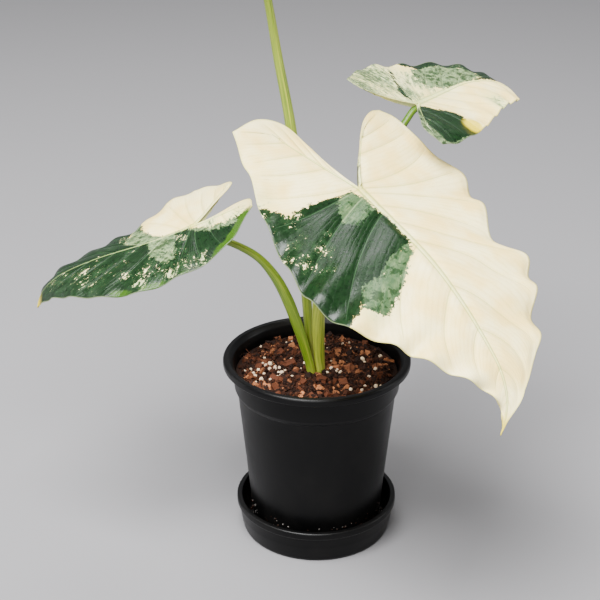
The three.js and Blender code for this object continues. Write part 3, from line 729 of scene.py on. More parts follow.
def blade_panel(form, half, panel, places, across, settings):
    """One panel of a half blade: its points, its relief and the values for its material."""
    leaf = form.leaf
    table = leaf[panel][half]
    last = len(table) - 1
    rows = rows_at(table, places)
    edge = catmull_rom(table, rows)[:, 1:]
    edge[places >= 1] = table[-1][1:]
    rise = edge[:, 2] if edge.shape[1] > 2 else 0
    edge = edge[:, :2]
    rib = form.rib(half, places)
    flat = rib[:, None] + (edge - rib)[:, None] * across[:, None]
    u, v = flat[..., 0], flat[..., 1]
    lift = np.zeros(u.shape)
    if panel == "outer":
        size, phase = leaf["wave"][half]
        ends = np.minimum((last - rows) / 1.5, 1) * np.minimum(rows, 1)
        lift = (rise + size * ends * np.sin(2 * np.pi * (rows + phase)))[:, None] * across**WAVE_GATHER
    point = form.place(half, u, v, lift)

    # The vein count runs up by 1 from each side vein to the next, and the gap is their spacing in mm.
    veins = np.array(leaf["veins"][half] if panel == "outer" else SINUS_VEINS)
    bent = veins[:, :1] + (veins[:, 1:] - veins[:, :1]) * across**VEIN_BOW
    count = np.stack([np.interp(places, bent[:, k], np.arange(len(veins))) for k in range(len(across))], 1)
    gap = vein_gap(u, v, count)
    reach = np.linalg.norm(edge - rib, axis=1)[:, None]
    from_rib = reach * across
    from_margin = reach * (1 - across)
    radius = form.rib_radius(places)[:, None] * np.ones(u.shape)
    from_vein = np.abs(count - np.round(count)) * gap

    fade = smooth(from_rib, 0.5 * radius, SWELL_FADE) * smooth(from_margin, 0, SWELL_FADE)
    swell = np.minimum(SWELL_SHARE * gap * MM, settings.pillow) * leaf["quilt"]
    swell = swell * np.abs(np.sin(np.pi * count)) ** 1.2
    thin = smooth(from_margin, 0, THIN_FADE)
    line = np.exp(-((from_vein / VEIN_WIDTH) ** 2)) * smooth(from_margin, 2, VEIN_FADE)
    beside_rib = np.exp(-(((from_rib - 1.1 * radius) / (0.5 * radius)) ** 2))
    on_rib = np.exp(-((from_rib / (0.6 * radius)) ** 2))
    hump = np.clip(1 - (from_rib / (1.3 * radius)) ** 2, 0, 1) ** 1.5
    return {
        "point": point,
        "relief": np.stack((
            swell * fade / MM,
            (-settings.groove * line + (0.12 * on_rib - 0.1 * beside_rib) * radius * MM) / MM,
            settings.ridge * line / MM + 1.9 * radius * hump,
            settings.margin / MM + (settings.blade - settings.margin) / MM * thin,
        ), -1),
        "grain": np.stack((count, from_rib, gap), -1),
        "edges": np.stack((from_rib, from_margin, radius), -1),
        "flat": np.stack((u if half == "right" else -u, v, np.zeros(u.shape)), -1),
    }


def vein_gap(u, v, count):
    """The distance in mm across the blade in which the vein count rises by 1."""
    u_i, u_k = np.gradient(u)
    v_i, v_k = np.gradient(v)
    c_i, c_k = np.gradient(count)
    area = u_i * v_k - u_k * v_i
    area = np.where(np.abs(area) < 1e-6, 1e-6, area)
    slope = np.hypot((c_i * v_k - c_k * v_i) / area, (c_k * u_i - c_i * u_k) / area)
    return np.clip(1 / np.maximum(slope, 1e-3), *VEIN_GAPS)


def blade_sheet(form, settings):
    leaf = form.leaf
    edge = leaf["outer"]["right"]
    petiole_row = rows_at(edge, 0)
    behind = round(leaf["rows"] * petiole_row / (len(edge) - 1))
    before = np.linspace(0, petiole_row, behind + 1)
    ahead = np.linspace(petiole_row, len(edge) - 1, leaf["rows"] - behind + 1)[1:]
    places = catmull_rom(edge, np.concatenate((before, ahead)))[:, 0]
    places[[0, behind, -1]] = (-1, 0, 1)
    across = np.linspace(0, 1, leaf["columns"] + 1) ** COLUMN_SPREAD
    sheet = Sheet()
    for half in ("right", "left"):
        for panel in ("outer", "inner"):
            along = places if panel == "outer" else places[:behind + 1]
            sheet.add((half == "right") != (panel == "outer"),
                      **blade_panel(form, half, panel, along, across, settings))
    return sheet.joined()


def merged(points):
    """The points that lie apart, and the number of each point's own among them."""
    keys = np.round(points * WELD_STEPS).astype(np.int64)
    _, first, index = np.unique(keys, axis=0, return_index=True, return_inverse=True)
    return points[first], index.reshape(-1)


class Shell:
    """Closed shells of one object, with their corner values and materials."""

    def __init__(self):
        self.points = []
        self.faces = []
        self.corners = {}
        self.materials = []
        self.total = 0

    def add(self, points, faces, material, corners=None):
        """faces index points, and each corner value has one row for every corner, in the faces' order."""
        size = sum(len(face) for face in faces)
        self.faces += [[i + self.total for i in face] for face in faces]
        self.points.append(points)
        self.total += len(points)
        self.materials += [material] * len(faces)
        filled = sum(len(rows) for rows in next(iter(self.corners.values()), []))
        for name in corners or {}:
            self.corners.setdefault(name, [np.zeros((filled, 3))] if filled else [])
        for name, rows in self.corners.items():
            rows.append(corners[name] if corners and name in corners else np.zeros((size, 3)))

    def made(self, name, *materials):
        mesh = bpy.data.meshes.new(name)
        mesh.from_pydata((np.vstack(self.points) * MM).tolist(), [], self.faces)
        for material in materials:
            mesh.materials.append(material)
        mesh.polygons.foreach_set("material_index", self.materials)
        mesh.polygons.foreach_set("use_smooth", [True] * len(mesh.polygons))
        for title, rows in self.corners.items():
            made = mesh.attributes.new(title, "FLOAT_VECTOR", "CORNER")
            made.data.foreach_set("vector", np.vstack(rows).astype(np.float32).ravel())
        mesh.update()
        return linked(name, mesh)


def add_blade(shell, form, settings):
    """The blade as one closed shell, raised by its relief, with its margin closed all round."""
    leaf = form.leaf
    quads, values = blade_sheet(form, settings)
    middle, own = merged(values["point"])
    corners = own[quads]
    a, b, c, d = (middle[corners[:, k]] for k in range(4))
    face_normals = np.cross(c - a, d - b)
    normals = np.zeros(middle.shape)
    for k in range(4):
        np.add.at(normals, corners[:, k], face_normals)
    normals /= np.linalg.norm(normals, axis=1)[:, None]
    relief = np.zeros((len(middle), 4))
    relief[own] = values["relief"]
    rise, above, below, thick = relief.T[:, :, None]
    top = middle + normals * (thick / 2 + rise + above)
    under = middle - normals * (thick / 2 - rise + below)

    upper, uncut = [], []
    for face, source in zip(corners.tolist(), quads.tolist()):
        kept = [k for k in range(4) if face[k] != face[k - 1]]
        upper.append([face[k] for k in kept])
        uncut.append([source[k] for k in kept])
    edges = {}
    for face, source in zip(upper, uncut):
        for k in range(len(face)):
            i, j = face[k - 1], face[k]
            if edges.pop((j, i), None) is None:
                edges[i, j] = (source[k - 1], source[k])
    size = len(middle)
    lower = [[i + size for i in reversed(face)] for face in upper]
    rim = [[j, i, i + size, j + size] for i, j in edges]
    sources = [i for face in uncut for i in face]
    sources_under = [i for face in uncut for i in reversed(face)]
    sources_rim = [k for p, q in edges.values() for k in (q, p, p, q)]
    order = np.array(sources + sources_under + sources_rim)
    facing = np.repeat((1, 0, 0.5), (len(sources), len(sources_under), len(sources_rim)))
    u, v, _ = values["flat"].T
    insides = [inside_by(leaf[name], u, v) for name in ("green", "grey")]
    marks = np.stack((*insides, spots(leaf["flecks"], u, v)), 1)
    tints = np.stack([spots(leaf[name], u, v) for name in ("lime", "yellow", "mottles")], 1)
    flat = values["flat"][order]
    flat[:, 2] = facing
    # No crest of the margin stands outside the box of the CAD.
    low, high = np.array(CAD_BOUNDS) / MM
    shell.add(np.clip(np.vstack((top, under)), low, high), upper + lower + rim, 0, {
        "flat": flat, "grain": values["grain"][order], "edges": values["edges"][order],
        "marks": marks[order], "tints": tints[order],
    })


def space_curve(points, count):
    """Evenly spaced points on a smooth curve through points, by centripetal spacing."""
    points = np.asarray(points, float)
    ends = np.vstack((2 * points[0] - points[1], points, 2 * points[-1] - points[-2]))
    fine = []
    for a, b, c, d in zip(ends, ends[1:], ends[2:], ends[3:]):
        before, here, after = (max(np.linalg.norm(q - p) ** 0.5, 1e-4) for p, q in ((a, b), (b, c), (c, d)))
        leave = ((b - a) / before - (c - a) / (before + here) + (c - b) / here) * here
        arrive = ((c - b) / here - (d - b) / (here + after) + (d - c) / after) * here
        t = np.linspace(0, 1, 60, endpoint=False)[:, None]
        bends = (3 * (c - b) - 2 * leave - arrive, 2 * (b - c) + leave + arrive)
        fine.append(b + leave * t + bends[0] * t**2 + bends[1] * t**3)
    fine = np.vstack((*fine, points[-1:]))
    length = np.concatenate(((0,), np.cumsum(np.linalg.norm(np.diff(fine, axis=0), axis=1))))
    at = np.linspace(0, length[-1], count)
    return np.stack([np.interp(at, length, fine[:, k]) for k in range(3)], 1), at


def add_petiole(shell, form):
    """The petiole: a tapered stalk, channelled between sheath edges on the side near the plant's middle."""
    leaf = form.leaf
    root = form.place("right", 0, leaf["length"] * 0.015, -leaf["thickness"][-1] - 0.2)
    points = [*leaf["petiole"], tuple(root)]
    points[0] = (*points[0][:2], points[0][2] - 6)
    path, along = space_curve(points, PETIOLE_STEPS + 1)
    share = along / along[-1]
    radii = np.interp(share, np.linspace(0, 1, len(points)), [*leaf["thickness"], leaf["thickness"][-1]])
    path = path + np.array((0, 0, 1)) * np.clip(ROOTSTOCK_TOP + 1 - path[:, 2:], 0, None)
    tangents = np.gradient(path, axis=0)
    tangents /= np.maximum(np.linalg.norm(tangents, axis=1)[:, None], 1e-9)
    inward = np.stack((STEM_X - path[:, 0], STEM_Y - path[:, 1], np.full(len(path), 50.0)), 1)
    inward -= tangents * (inward * tangents).sum(1)[:, None]
    inward /= np.linalg.norm(inward, axis=1)[:, None]
    sideways = np.cross(tangents, inward)
    angle = np.linspace(-np.pi, np.pi, PETIOLE_SIDES, endpoint=False)
    # A channel at angle 0 between two raised edges, weaker up the stalk, and fine ribs all round
    sheath = (0.25 + 0.75 * (1 - smooth(along, *SHEATH_FADE))) * (1 - smooth(share, 0.9, 1))
    channel = 0.13 * np.exp(-((angle / 0.36) ** 2)) - 0.12 * np.exp(-(((np.abs(angle) - 0.74) / 0.24) ** 2))
    ribs = 0.006 * np.cos(PETIOLE_RIBS * angle)
    radius = radii[:, None] * (1 - sheath[:, None] * channel + ribs)
    rings = path[:, None] + radius[..., None] * (
        inward[:, None] * np.cos(angle)[None, :, None] + sideways[:, None] * np.sin(angle)[None, :, None])
    index, ahead = around(len(rings), PETIOLE_SIDES)
    quads = np.stack((index[:-1], ahead[:-1], ahead[1:], index[1:]), -1).reshape(-1, 4)
    faces = quads.tolist() + [index[0, ::-1].tolist(), index[-1].tolist()]
    turn = np.broadcast_arrays(np.cos(angle)[None], np.sin(angle)[None], along[:, None])
    turn = np.stack(turn, -1).reshape(-1, 3)
    shell.add(rings.reshape(-1, 3), faces, 1, {"stalk": turn[[i for face in faces for i in face]]})


def leaf_material(name, settings, paleness):
    """Cream and green tissue whose borders, flecks and veins follow the blade."""
    work = ShaderWork(name)
    step, times, less = work.step, work.times, work.less
    flat = work.attribute("flat")
    facing = work.parts(flat)[2]
    count, along, gap = work.parts(work.attribute("grain"))
    from_rib, from_margin, radius = work.parts(work.attribute("edges"))
    green_by, grey_by, fleck = work.parts(work.attribute("marks"))
    lime, yellow, mottle = work.parts(work.attribute("tints"))

    # Streaks run along the side veins, and the other patterns lie in the flat frame.
    streaks = work.noise(work.joined(times(count, 9.0), times(along, 0.09), facing), 1.0, 4, 0.6)
    broad = work.noise(flat, 0.03, 2)
    blots = work.noise(flat, 0.12, 6, 0.7)
    blotch = work.noise(flat, 0.17, 7, 0.78)
    fine = work.noise(flat, 0.35, 4, 0.6)
    speckle = work.noise(flat, 0.75, 4, 0.7)
    grains = work.noise(flat, 1.1, 3, 0.6)

    # Side veins lie at whole counts, with fine ones between them.
    in_widths = work.math("DIVIDE", times(work.from_whole(count), gap), step(from_margin, 4, 60, 0.4, 1.0))
    vein = times(step(in_widths, 0.25, 0.85, 1, 0), step(from_margin, 1.5, 12))
    # Beside each side vein the bump sinks a groove, and the colour paints shade into it: tan in cream, dark in
    # green
    groove_shade = times(step(in_widths, 0.9, 3.6, 1, 0), step(from_margin, 2, 30))
    small = step(work.from_whole(work.weighted((count, 7.0), (fine, 0.9))), 0.0, 0.3, 1, 0)
    in_radii = work.math("DIVIDE", from_rib, radius)
    rib = step(in_radii, 0.3, 0.6, 1, 0)
    rib_side = times(step(in_radii, 0.45, 0.75), step(in_radii, 1.0, 1.6, 1, 0))

    # Cream tissue, with green that shows through it in mottles and painted shade in the grooves beside the
    # veins
    through = less(work.weighted((streaks, 0.6), (fine, 0.4)), less(0.71, times(mottle, 0.32)))
    cream = work.layered(
        settings.cream,
        (step(broad, 0.35, 0.65), settings.ivory),
        (step(streaks, 0.48, 0.8, 0, 0.4), settings.tan),
        (times(small, 0.2), settings.tan),
        # painted shade in the grooves beside the side veins
        (times(groove_shade, 0.2), settings.tan),
        (times(vein, 0.6 - 0.4 * paleness), settings.vein_line),
        (times(rib_side, 0.75), settings.rib_side),
        (times(rib, 0.7), settings.rib_cream),
        (step(from_margin, 0.2, 1.6, 0.6, 0), settings.rim),
        (times(mottle, 0.8), settings.through),
        (step(through, -0.01, 0.02, 0, 0.75), settings.grey_pale),
        (step(through, 0.05, 0.11, 0, 0.8), settings.grey_deep),
    )

    # Green tissue, paler between the veins: partly grey-green tissue and partly a painted sheen
    grey_and_sheen = times(step(streaks, 0.45, 0.75), step(broad, 0.4, 0.62))
    green = work.layered(
        settings.dark,
        (step(fine, 0.2, 0.9), settings.green),
        (times(grey_and_sheen, 0.12), settings.grey_deep),
        # painted shade in the grooves beside the side veins
        (times(groove_shade, 0.35), settings.dark),
        (times(vein, 0.6), settings.grey_deep),
        (times(rib, 0.6), settings.rib_green),
        (step(from_margin, 0.2, 0.8, 0.5, 0), settings.grey_pale),
    )

    # Grey-green tissue
    grey = work.layered(
        settings.grey_deep,
        (paleness, settings.grey_pale),
        (step(fine, 0.42, 0.62, 0, 0.7), settings.grey_deep),
        (step(streaks, 0.5, 0.72, 0, 0.25 + 0.3 * paleness), settings.grey_pale),
        (step(work.total(blots, 0.05 * paleness), 0.54, 0.57, 0, 0.8), settings.green),
        (times(vein, 0.35), settings.grey_pale),
        (times(rib, 0.6), settings.rib_grey),
    )

    # Borders are ragged, along the streaks and in fine grains.
    ragged = work.weighted((less(streaks, 0.5), 9.0), (less(fine, 0.5), 9.0), (less(grains, 0.5), 4.0))
    in_green = step(work.total(green_by, ragged), -0.25, 0.25)
    in_grey = step(work.total(grey_by, ragged), -0.3, 0.3)

    # Flecks of cream in the green: jagged splashes, fine grains round them, and a grey halo
    lengthwise = 0.30 + 0.22 * paleness
    bar = less(0.665, times(fleck, 0.145 - 0.03 * paleness))
    splash = work.weighted((blotch, 0.75 - lengthwise), (streaks, lengthwise), (speckle, 0.25))
    splash = step(less(splash, bar), -0.004, 0.01)
    dust = step(less(speckle, less(0.80, times(fleck, 0.20))), 0.0, 0.02, 0, 0.8)
    specks = times(work.math("MAXIMUM", splash, dust), work.math("MAXIMUM", in_green, in_grey))
    halo = times(step(less(blotch, bar), -0.12, -0.03, 0, 0.35), step(fleck, 0.2, 0.7), in_green)
    fleck_colour = work.layered(
        settings.ivory,
        (step(fine, 0.4, 0.65, 0.1, 0.1 + paleness), settings.grey_pale),
        (step(from_margin, 6, 18, 1.2 * paleness, 0), settings.grey_pale),
    )

    # Painted light: lime where light comes through the blade. Yellow at the tip and the petiole, and a paler
    # underside
    lime = work.weighted((lime, step(from_margin, 2, 11, 1.0, 0.0)), (less(blotch, 0.5), 0.9))
    colour = work.layered(
        cream,
        (in_green, green),
        (in_grey, grey),
        (halo, settings.grey_deep),
        (specks, fleck_colour),
        (step(lime, 0.3, 0.6, 0, 0.8), settings.lime),
        (step(yellow, 0.2, 0.9, 0, 0.9), settings.yellow),
        (times(step(facing, 0.4, 0.6, 1, 0), 0.25), settings.underside),
    )
    height = work.weighted((small, -0.35), (fine, 0.8), (work.total(vein, groove_shade), -0.9), (streaks, 0.1))
    work.bump(height, 0.22 * MM, 0.9)
    roughness = work.total(step(fine, 0.3, 0.7, 0.31, 0.42), times(in_green, -0.04))
    return work.finish(colour, roughness, Subsurface_Weight=0.12, Subsurface_Radius=(1.0, 0.9, 0.4),
                       Subsurface_Scale=1.2 * MM, Specular_IOR_Level=0.25)


def stalk_material(name, settings, shade):
    """Petiole skin with long streaks, paler at its foot. A shade below 0 pales it, above 0 paints shade on it.
    """
    work = ShaderWork(name)
    step = work.step
    turn = work.attribute("stalk")
    height = work.parts(work.place())[2]
    streaks = work.noise(turn, 1.0, 4, 0.6, stretch=(3.2, 3.2, 0.018))
    threads = work.noise(turn, 1.0, 3, 0.6, stretch=(11, 11, 0.05))
    mottle = work.noise(turn, 1.0, 3, 0.6, stretch=(3, 3, 0.4))
    # Above 0 a shade darkens the skin as painted shade and fades its pale streaks; below 0 it is paler, partly
    # painted light
    light = 1 - 0.8 * max(shade, 0)
    at_edge = step(work.parts(turn)[0], 0.62, 0.8)
    colour = work.layered(
        settings.stalk,
        (abs(shade), settings.stalk_pale if shade < 0 else settings.stalk_dark),
        (step(streaks, 0.5, 0.7, 0, 0.5 * light), settings.stalk_pale),
        (step(streaks, 0.5, 0.36, 0, 0.6), settings.stalk_dark),
        (step(threads, 0.5, 0.75, 0, 0.25 * light), settings.stalk_pale),
        (work.times(at_edge, step(height, 0.2, 0.15), 0.6), settings.sheath),
        (step(height, 0.165, 0.146, 0, 0.5), settings.stalk_foot),
        (step(mottle, 0.6, 0.75, 0, 0.15), settings.stalk_dark),
    )
    work.bump(threads, 0.15 * MM, 0.6)
    return work.finish(colour, step(mottle, 0.3, 0.7, 0.34, 0.46), Subsurface_Weight=0.15,
                       Subsurface_Radius=(0.8, 1.0, 0.2), Subsurface_Scale=1.5 * MM, Specular_IOR_Level=0.5)


def plastic_material(name, settings):
    """Black satin plastic, a little rubbed and dusty."""
    work = ShaderWork(name)
    place = work.place()
    cloud = work.noise(place, 26, 4, 0.6)
    drawn = work.noise(place, 1.0, 3, 0.6, stretch=(240, 240, 9))
    grains = work.noise(place, 900, 3, 0.7)
    colour = work.layered(
        settings.black,
        (work.step(cloud, 0.4, 0.72, 0, 0.6), settings.worn),
        (work.step(drawn, 0.6, 0.8, 0, 0.3), settings.worn),
        (work.step(grains, 0.68, 0.8, 0, 0.4), settings.dust),
    )
    roughness = work.total(work.step(cloud, 0.3, 0.7, 0.30, 0.40), work.times(drawn, 0.06))
    work.bump(work.noise(place, 1500, 2, 0.6), 0.05 * MM, 0.35)
    return work.finish(colour, roughness, Specular_IOR_Level=0.16)


def bit_material(name, dark, pale, rough, scale):
    """Bark, peat, perlite or root skin, each strewn bit with its own tint."""
    work = ShaderWork(name)
    tint = work.attribute("tint", "Fac")
    place = work.place()
    patches = work.noise(place, scale, 4, 0.65)
    colour = work.layered(
        dark,
        (work.step(work.weighted((tint, 0.7), (patches, 0.5)), 0.5, 0.98), pale),
        (work.step(work.noise(place, scale * 2.6, 3), 0.55, 0.75, 0, 0.6), dark),
    )
    work.bump(patches, 0.5 * MM, 0.8)
    return work.finish(colour, rough, Specular_IOR_Level=0.2)


def rounded(outline, radius):
    """An outline with each corner turned into a short curve."""
    points = np.array(outline, float)
    made = [points[0]]
    for before, corner, after in zip(points, points[1:], points[2:]):
        to_before, to_after = before - corner, after - corner
        reach_before, reach_after = np.linalg.norm(to_before), np.linalg.norm(to_after)
        cut = min(radius, reach_before * 0.45, reach_after * 0.45)
        start = corner + to_before / reach_before * cut
        end = corner + to_after / reach_after * cut
        for t in (0, 0.33, 0.67, 1):
            made.append((1 - t) ** 2 * start + 2 * t * (1 - t) * corner + t * t * end)
    made.append(points[-1])
    return np.array(made)


def with_rings(outline, step):
    """An outline with more points on its long upright stretches, for even shading round cut holes."""
    made = [outline[0]]
    for a, b in zip(outline, outline[1:]):
        count = max(1, int(abs(b[1] - a[1]) / step))
        shares = np.linspace(0, 1, count + 1)[1:]
        made += [((1 - t) * a[0] + t * b[0], (1 - t) * a[1] + t * b[1]) for t in shares]
    return made


def turned(outline, segments, centre=(0, 0)):
    """A closed turned shape in mm: points and faces that face outwards, its ends closed at the axis."""
    outline = np.asarray(outline, float)
    angle = np.linspace(0, 2 * np.pi, segments, endpoint=False)
    ring = outline[1:-1]
    points = np.stack((
        centre[0] + ring[:, :1] * np.cos(angle),
        centre[1] + ring[:, :1] * np.sin(angle),
        np.repeat(ring[:, 1:], segments, 1),
    ), -1).reshape(-1, 3)
    poles = np.array([(*centre, outline[0, 1]), (*centre, outline[-1, 1])])
    index, ahead = around(len(ring), segments)
    quads = np.stack((index[:-1], ahead[:-1], ahead[1:], index[1:]), -1).reshape(-1, 4).tolist()
    first, last = len(points), len(points) + 1
    caps = [[first, b, a] for a, b in zip(index[0], ahead[0])]
    caps += [[last, a, b] for a, b in zip(index[-1], ahead[-1])]
    return np.vstack((points, poles)), quads + [[int(i) for i in face] for face in caps]


def pot_radius(z):
    """The outer radius of the pot's tapered wall, in mm."""
    return POT_FOOT + POT_TAPER * (z - 3)


def pot_inside(z, gap=0.0):
    return pot_radius(z) - POT_WALL - gap


def bored(piece, tools):
    """A piece with tool shapes cut out of it, as a plain mesh."""
    cut = piece.modifiers.new("Holes", "BOOLEAN")
    cut.operation = "DIFFERENCE"
    cut.solver = "EXACT"
    cut.object = tools
    mesh = evaluated_mesh(piece)
    piece.modifiers.remove(cut)
    mesh.set_sharp_from_angle(angle=math.radians(SHARP_ANGLE))
    piece.data = mesh
    bpy.data.objects.remove(tools)
    return piece


def dressed(piece, node):
    """Puts a piece in the place of a CAD node of the one body."""
    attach(piece, "root")
    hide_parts(node)


def added(piece):
    """Adds a piece to the one body."""
    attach(piece, "root")


class TaroBuildSaucer(bpy.types.Operator):
    """Build the saucer with its rolled lip"""

    bl_idname = "taro.build_saucer"
    bl_label = "Saucer"

    def execute(self, context):
        settings = context.scene.taro_pot
        shell = Shell()
        outline = rounded(SAUCER_OUTLINE, settings.rounding / MM)
        shell.add(*turned(outline, settings.segments), 0)
        dressed(shell.made("saucer_dressed", plastic_material("saucer plastic", settings)), "saucer")
        return {"FINISHED"}


class TaroBuildPot(bpy.types.Operator):
    """Build the pot with its collar, lip, drain holes and foot notches"""

    bl_idname = "taro.build_pot"
    bl_label = "Pot"

    def execute(self, context):
        settings = context.scene.taro_pot
        outline = [
            (0, POT_UNDER_FLOOR), (50.4, POT_UNDER_FLOOR), (50.8, SAUCER_FLOOR), (53.2, SAUCER_FLOOR),
            (POT_FOOT, 3.4), (pot_radius(POT_STEP_Z), POT_STEP_Z), (67.9, 133), (68.9, 135.4), (70.3, 154.4),
            (76.8, 154.4), (POT_LIP, 155.6), (POT_LIP, 159.4), (76.8, POT_TOP), (73.2, POT_TOP),
            (72.2, 160.2), (69.6, 157.4), (68.4, 152), (67.3, 137), (66.1, 133.6),
            (pot_inside(POT_STEP_Z), POT_STEP_Z - 1), (pot_inside(12), 12), (50.6, POT_INNER_FLOOR),
            (0, POT_INNER_FLOOR),
        ]
        shell = Shell()
        outline = with_rings(rounded(outline, settings.rounding / MM).tolist(), 6)
        shell.add(*turned(outline, settings.segments), 0)
        pot = shell.made("pot_dressed", plastic_material("pot plastic", settings))
        tools = Shell()
        for i in range(DRAIN_HOLES):
            angle = 2 * math.pi * (i + 0.5) / DRAIN_HOLES
            centre = (DRAIN_CIRCLE * math.cos(angle), DRAIN_CIRCLE * math.sin(angle))
            drill = [(0, 1), (DRAIN_RADIUS, 1), (DRAIN_RADIUS, 12), (0, 12)]
            tools.add(*turned(drill, 32, centre), 0)
        for i in range(FOOT_NOTCHES):
            tools.add(*notch(2 * math.pi * (i + 0.5) / FOOT_NOTCHES), 0)
        dressed(bored(pot, tools.made("pot_holes")), "pot")
        return {"FINISHED"}


def notch(angle):
    """A block that cuts one foot notch, in mm."""
    sides = ((-6, -4), (6, -4), (6, 4), (-6, 4))
    corners = np.array([(x, y, z) for z in (0.9, 4.2) for x, y in sides], float)
    corners[:, 0] += POT_FOOT - 2
    c, s = math.cos(angle), math.sin(angle)
    turn = np.array(((c, -s, 0), (s, c, 0), (0, 0, 1)))
    faces = [[3, 2, 1, 0], [4, 5, 6, 7], [0, 1, 5, 4], [1, 2, 6, 5], [2, 3, 7, 6], [3, 0, 4, 7]]
    return corners @ turn.T, faces


def mix_height(x, y):
    """Height of the mix's top above MIX_TOP, in mm."""
    swell = 0.8 * math.sin(x * 0.13 + 1) * math.cos(y * 0.11) + 0.5 * math.sin(x * 0.31 + y * 0.27)
    lumps = 2.2 * noise.noise(Vector((x * 0.07, y * 0.07, 3)))
    lumps += 1.2 * noise.noise(Vector((x * 0.25, y * 0.25, 8)))
    return swell + lumps


def mix_top_points(radii, segments):
    """Rings of the mix's top: they leave the stems' middle and come to the pot's."""
    points = []
    for radius in radii:
        share = 1 - float(smooth(radius, STEM_HOLE, 34))
        for k in range(segments):
            angle = 2 * math.pi * k / segments
            x = radius * math.cos(angle) + STEM_X * share
            y = radius * math.sin(angle) + STEM_Y * share
            rough = mix_height(x, y) * float(smooth(radius, 6, 14) * (1 - smooth(radius, 63, 67.5)))
            points.append((x, y, MIX_TOP + rough + 1.2 * share - 1.0 * float(smooth(radius, 64, 68))))
    return points


def patch(points, segments, centre, reach):
    """The part of the mix's top whose faces lie within a circle, as a mesh for bits to lie on."""
    points = np.array(points)
    index, ahead = around(len(points) // segments, segments)
    faces = np.stack((index[:-1], index[1:], ahead[1:], ahead[:-1]), -1).reshape(-1, 4)
    middles = points[faces].mean(1)[:, :2]
    faces = faces[np.linalg.norm(middles - centre, axis=1) < reach]
    mesh = bpy.data.meshes.new("mix surface")
    mesh.from_pydata((points * MM).tolist(), [], faces.tolist())
    return mesh


def ring_band(edges, sides=96):
    """A band between two rings, each a radius and a height in mm, as a mesh for bits to lie on."""
    angle = np.linspace(0, 2 * np.pi, sides + 1)[:-1]
    rings = [np.stack((r * np.cos(angle), r * np.sin(angle), np.full(sides, z)), 1) for r, z in edges]
    faces = [[k, sides + k, sides + (k + 1) % sides, (k + 1) % sides] for k in range(sides)]
    mesh = bpy.data.meshes.new("band")
    mesh.from_pydata((np.vstack(rings) * MM).tolist(), [], faces)
    return mesh


class ScatterWork(NodeWork):
    """Short calls that build one geometry node tree with named inputs."""

    def __init__(self, name, inputs):
        self.tree = bpy.data.node_groups.new(name, "GeometryNodeTree")
        new_socket = self.tree.interface.new_socket
        self.sockets = {
            title: new_socket(title, in_out="INPUT", socket_type="NodeSocket" + kind).identifier
            for title, kind in inputs.items()
        }
        new_socket("Geometry", in_out="OUTPUT", socket_type="NodeSocketGeometry")
        self.given = self.tree.nodes.new("NodeGroupInput").outputs
        self.exit = self.tree.nodes.new("NodeGroupOutput")

    def random(self, low, high, seed, kind="FLOAT"):
        first, output = (0, 0) if kind == "FLOAT_VECTOR" else (2, 1)
        inputs = {first: low, first + 1: high, "Seed": seed}
        return self.node("FunctionNodeRandomValue", inputs, data_type=kind).outputs[output]


SCATTER_INPUTS = {
    "Geometry": "Geometry", "Count": "Int", "Smallest": "Float", "Largest": "Float", "Roughness": "Float",
    "Tilt": "Float", "Raise": "Float", "Apart": "Float", "Seed": "Int", "Material": "Material",
}
HALF_TURN = 3.14159


def scatter_tree(name, shape):
    """A tree that strews bits of one shape over a surface, each with its own size, turn and roughness."""
    work = ScatterWork(name, SCATTER_INPUTS)
    node, given = work.node, work.given

    # Points on the surface, drawn by lot down to the wanted count
    points = node("GeometryNodeDistributePointsOnFaces", {
        "Mesh": given["Geometry"], "Distance Min": given["Apart"], "Density Max": 1e6, "Seed": given["Seed"],
    }, distribute_method="POISSON").outputs["Points"]
    ranked = node("GeometryNodeSortElements", {
        "Geometry": points, "Sort Weight": work.random(0.0, 1.0, 5)}, domain="POINT").outputs[0]
    over = node("FunctionNodeCompare", {
        2: node("GeometryNodeInputIndex").outputs[0], 3: given["Count"],
    }, data_type="INT", operation="GREATER_EQUAL").outputs[0]
    kept = node("GeometryNodeDeleteGeometry", {
        "Geometry": ranked, "Selection": over}, domain="POINT").outputs[0]

    # A bit on each point, with its own size, turn and tint
    size = work.random(given["Smallest"], given["Largest"], 11)
    stretch = work.random((0.7, 0.7, 0.7), (1.3, 1.3, 1.3), 12, "FLOAT_VECTOR")
    lean = work.random((-1, -1, -HALF_TURN), (1, 1, HALF_TURN), 13, "FLOAT_VECTOR")
    bits = node("GeometryNodeInstanceOnPoints", {
        "Points": kept, "Instance": shape(work), "Scale": work.scaled(stretch, size),
        "Rotation": work.vector("MULTIPLY", lean, work.joined(given["Tilt"], given["Tilt"], 1.0))}).outputs[0]
    tinted = node("GeometryNodeStoreNamedAttribute", {
        "Geometry": bits, "Name": "tint", "Value": work.random(0.0, 1.0, 14),
    }, data_type="FLOAT", domain="INSTANCE").outputs[0]
    real = node("GeometryNodeRealizeInstances", {"Geometry": tinted}).outputs[0]

    # Every corner is jolted, and the bits are raised to lie on the surface.
    place = node("GeometryNodeInputPosition").outputs[0]
    ripple = node("ShaderNodeTexNoise", {"Vector": place, "Scale": 330.0, "Detail": 2.0}).outputs["Color"]
    jolt = work.scaled(work.vector("SUBTRACT", ripple, (0.5, 0.5, 0.5)), given["Roughness"])
    offset = work.vector("ADD", jolt, work.joined(z=given["Raise"]))
    moved = node("GeometryNodeSetPosition", {"Geometry": real, "Offset": offset}).outputs[0]
    named = node("GeometryNodeSetMaterial", {"Geometry": moved, "Material": given["Material"]}).outputs[0]
    work.feed(work.exit.inputs[0], named)
    return work


def chip_shape(work):
    return work.node("GeometryNodeMeshCube", {
        "Size": (1.9, 1.2, 0.95), "Vertices X": 4, "Vertices Y": 3, "Vertices Z": 3}).outputs[0]


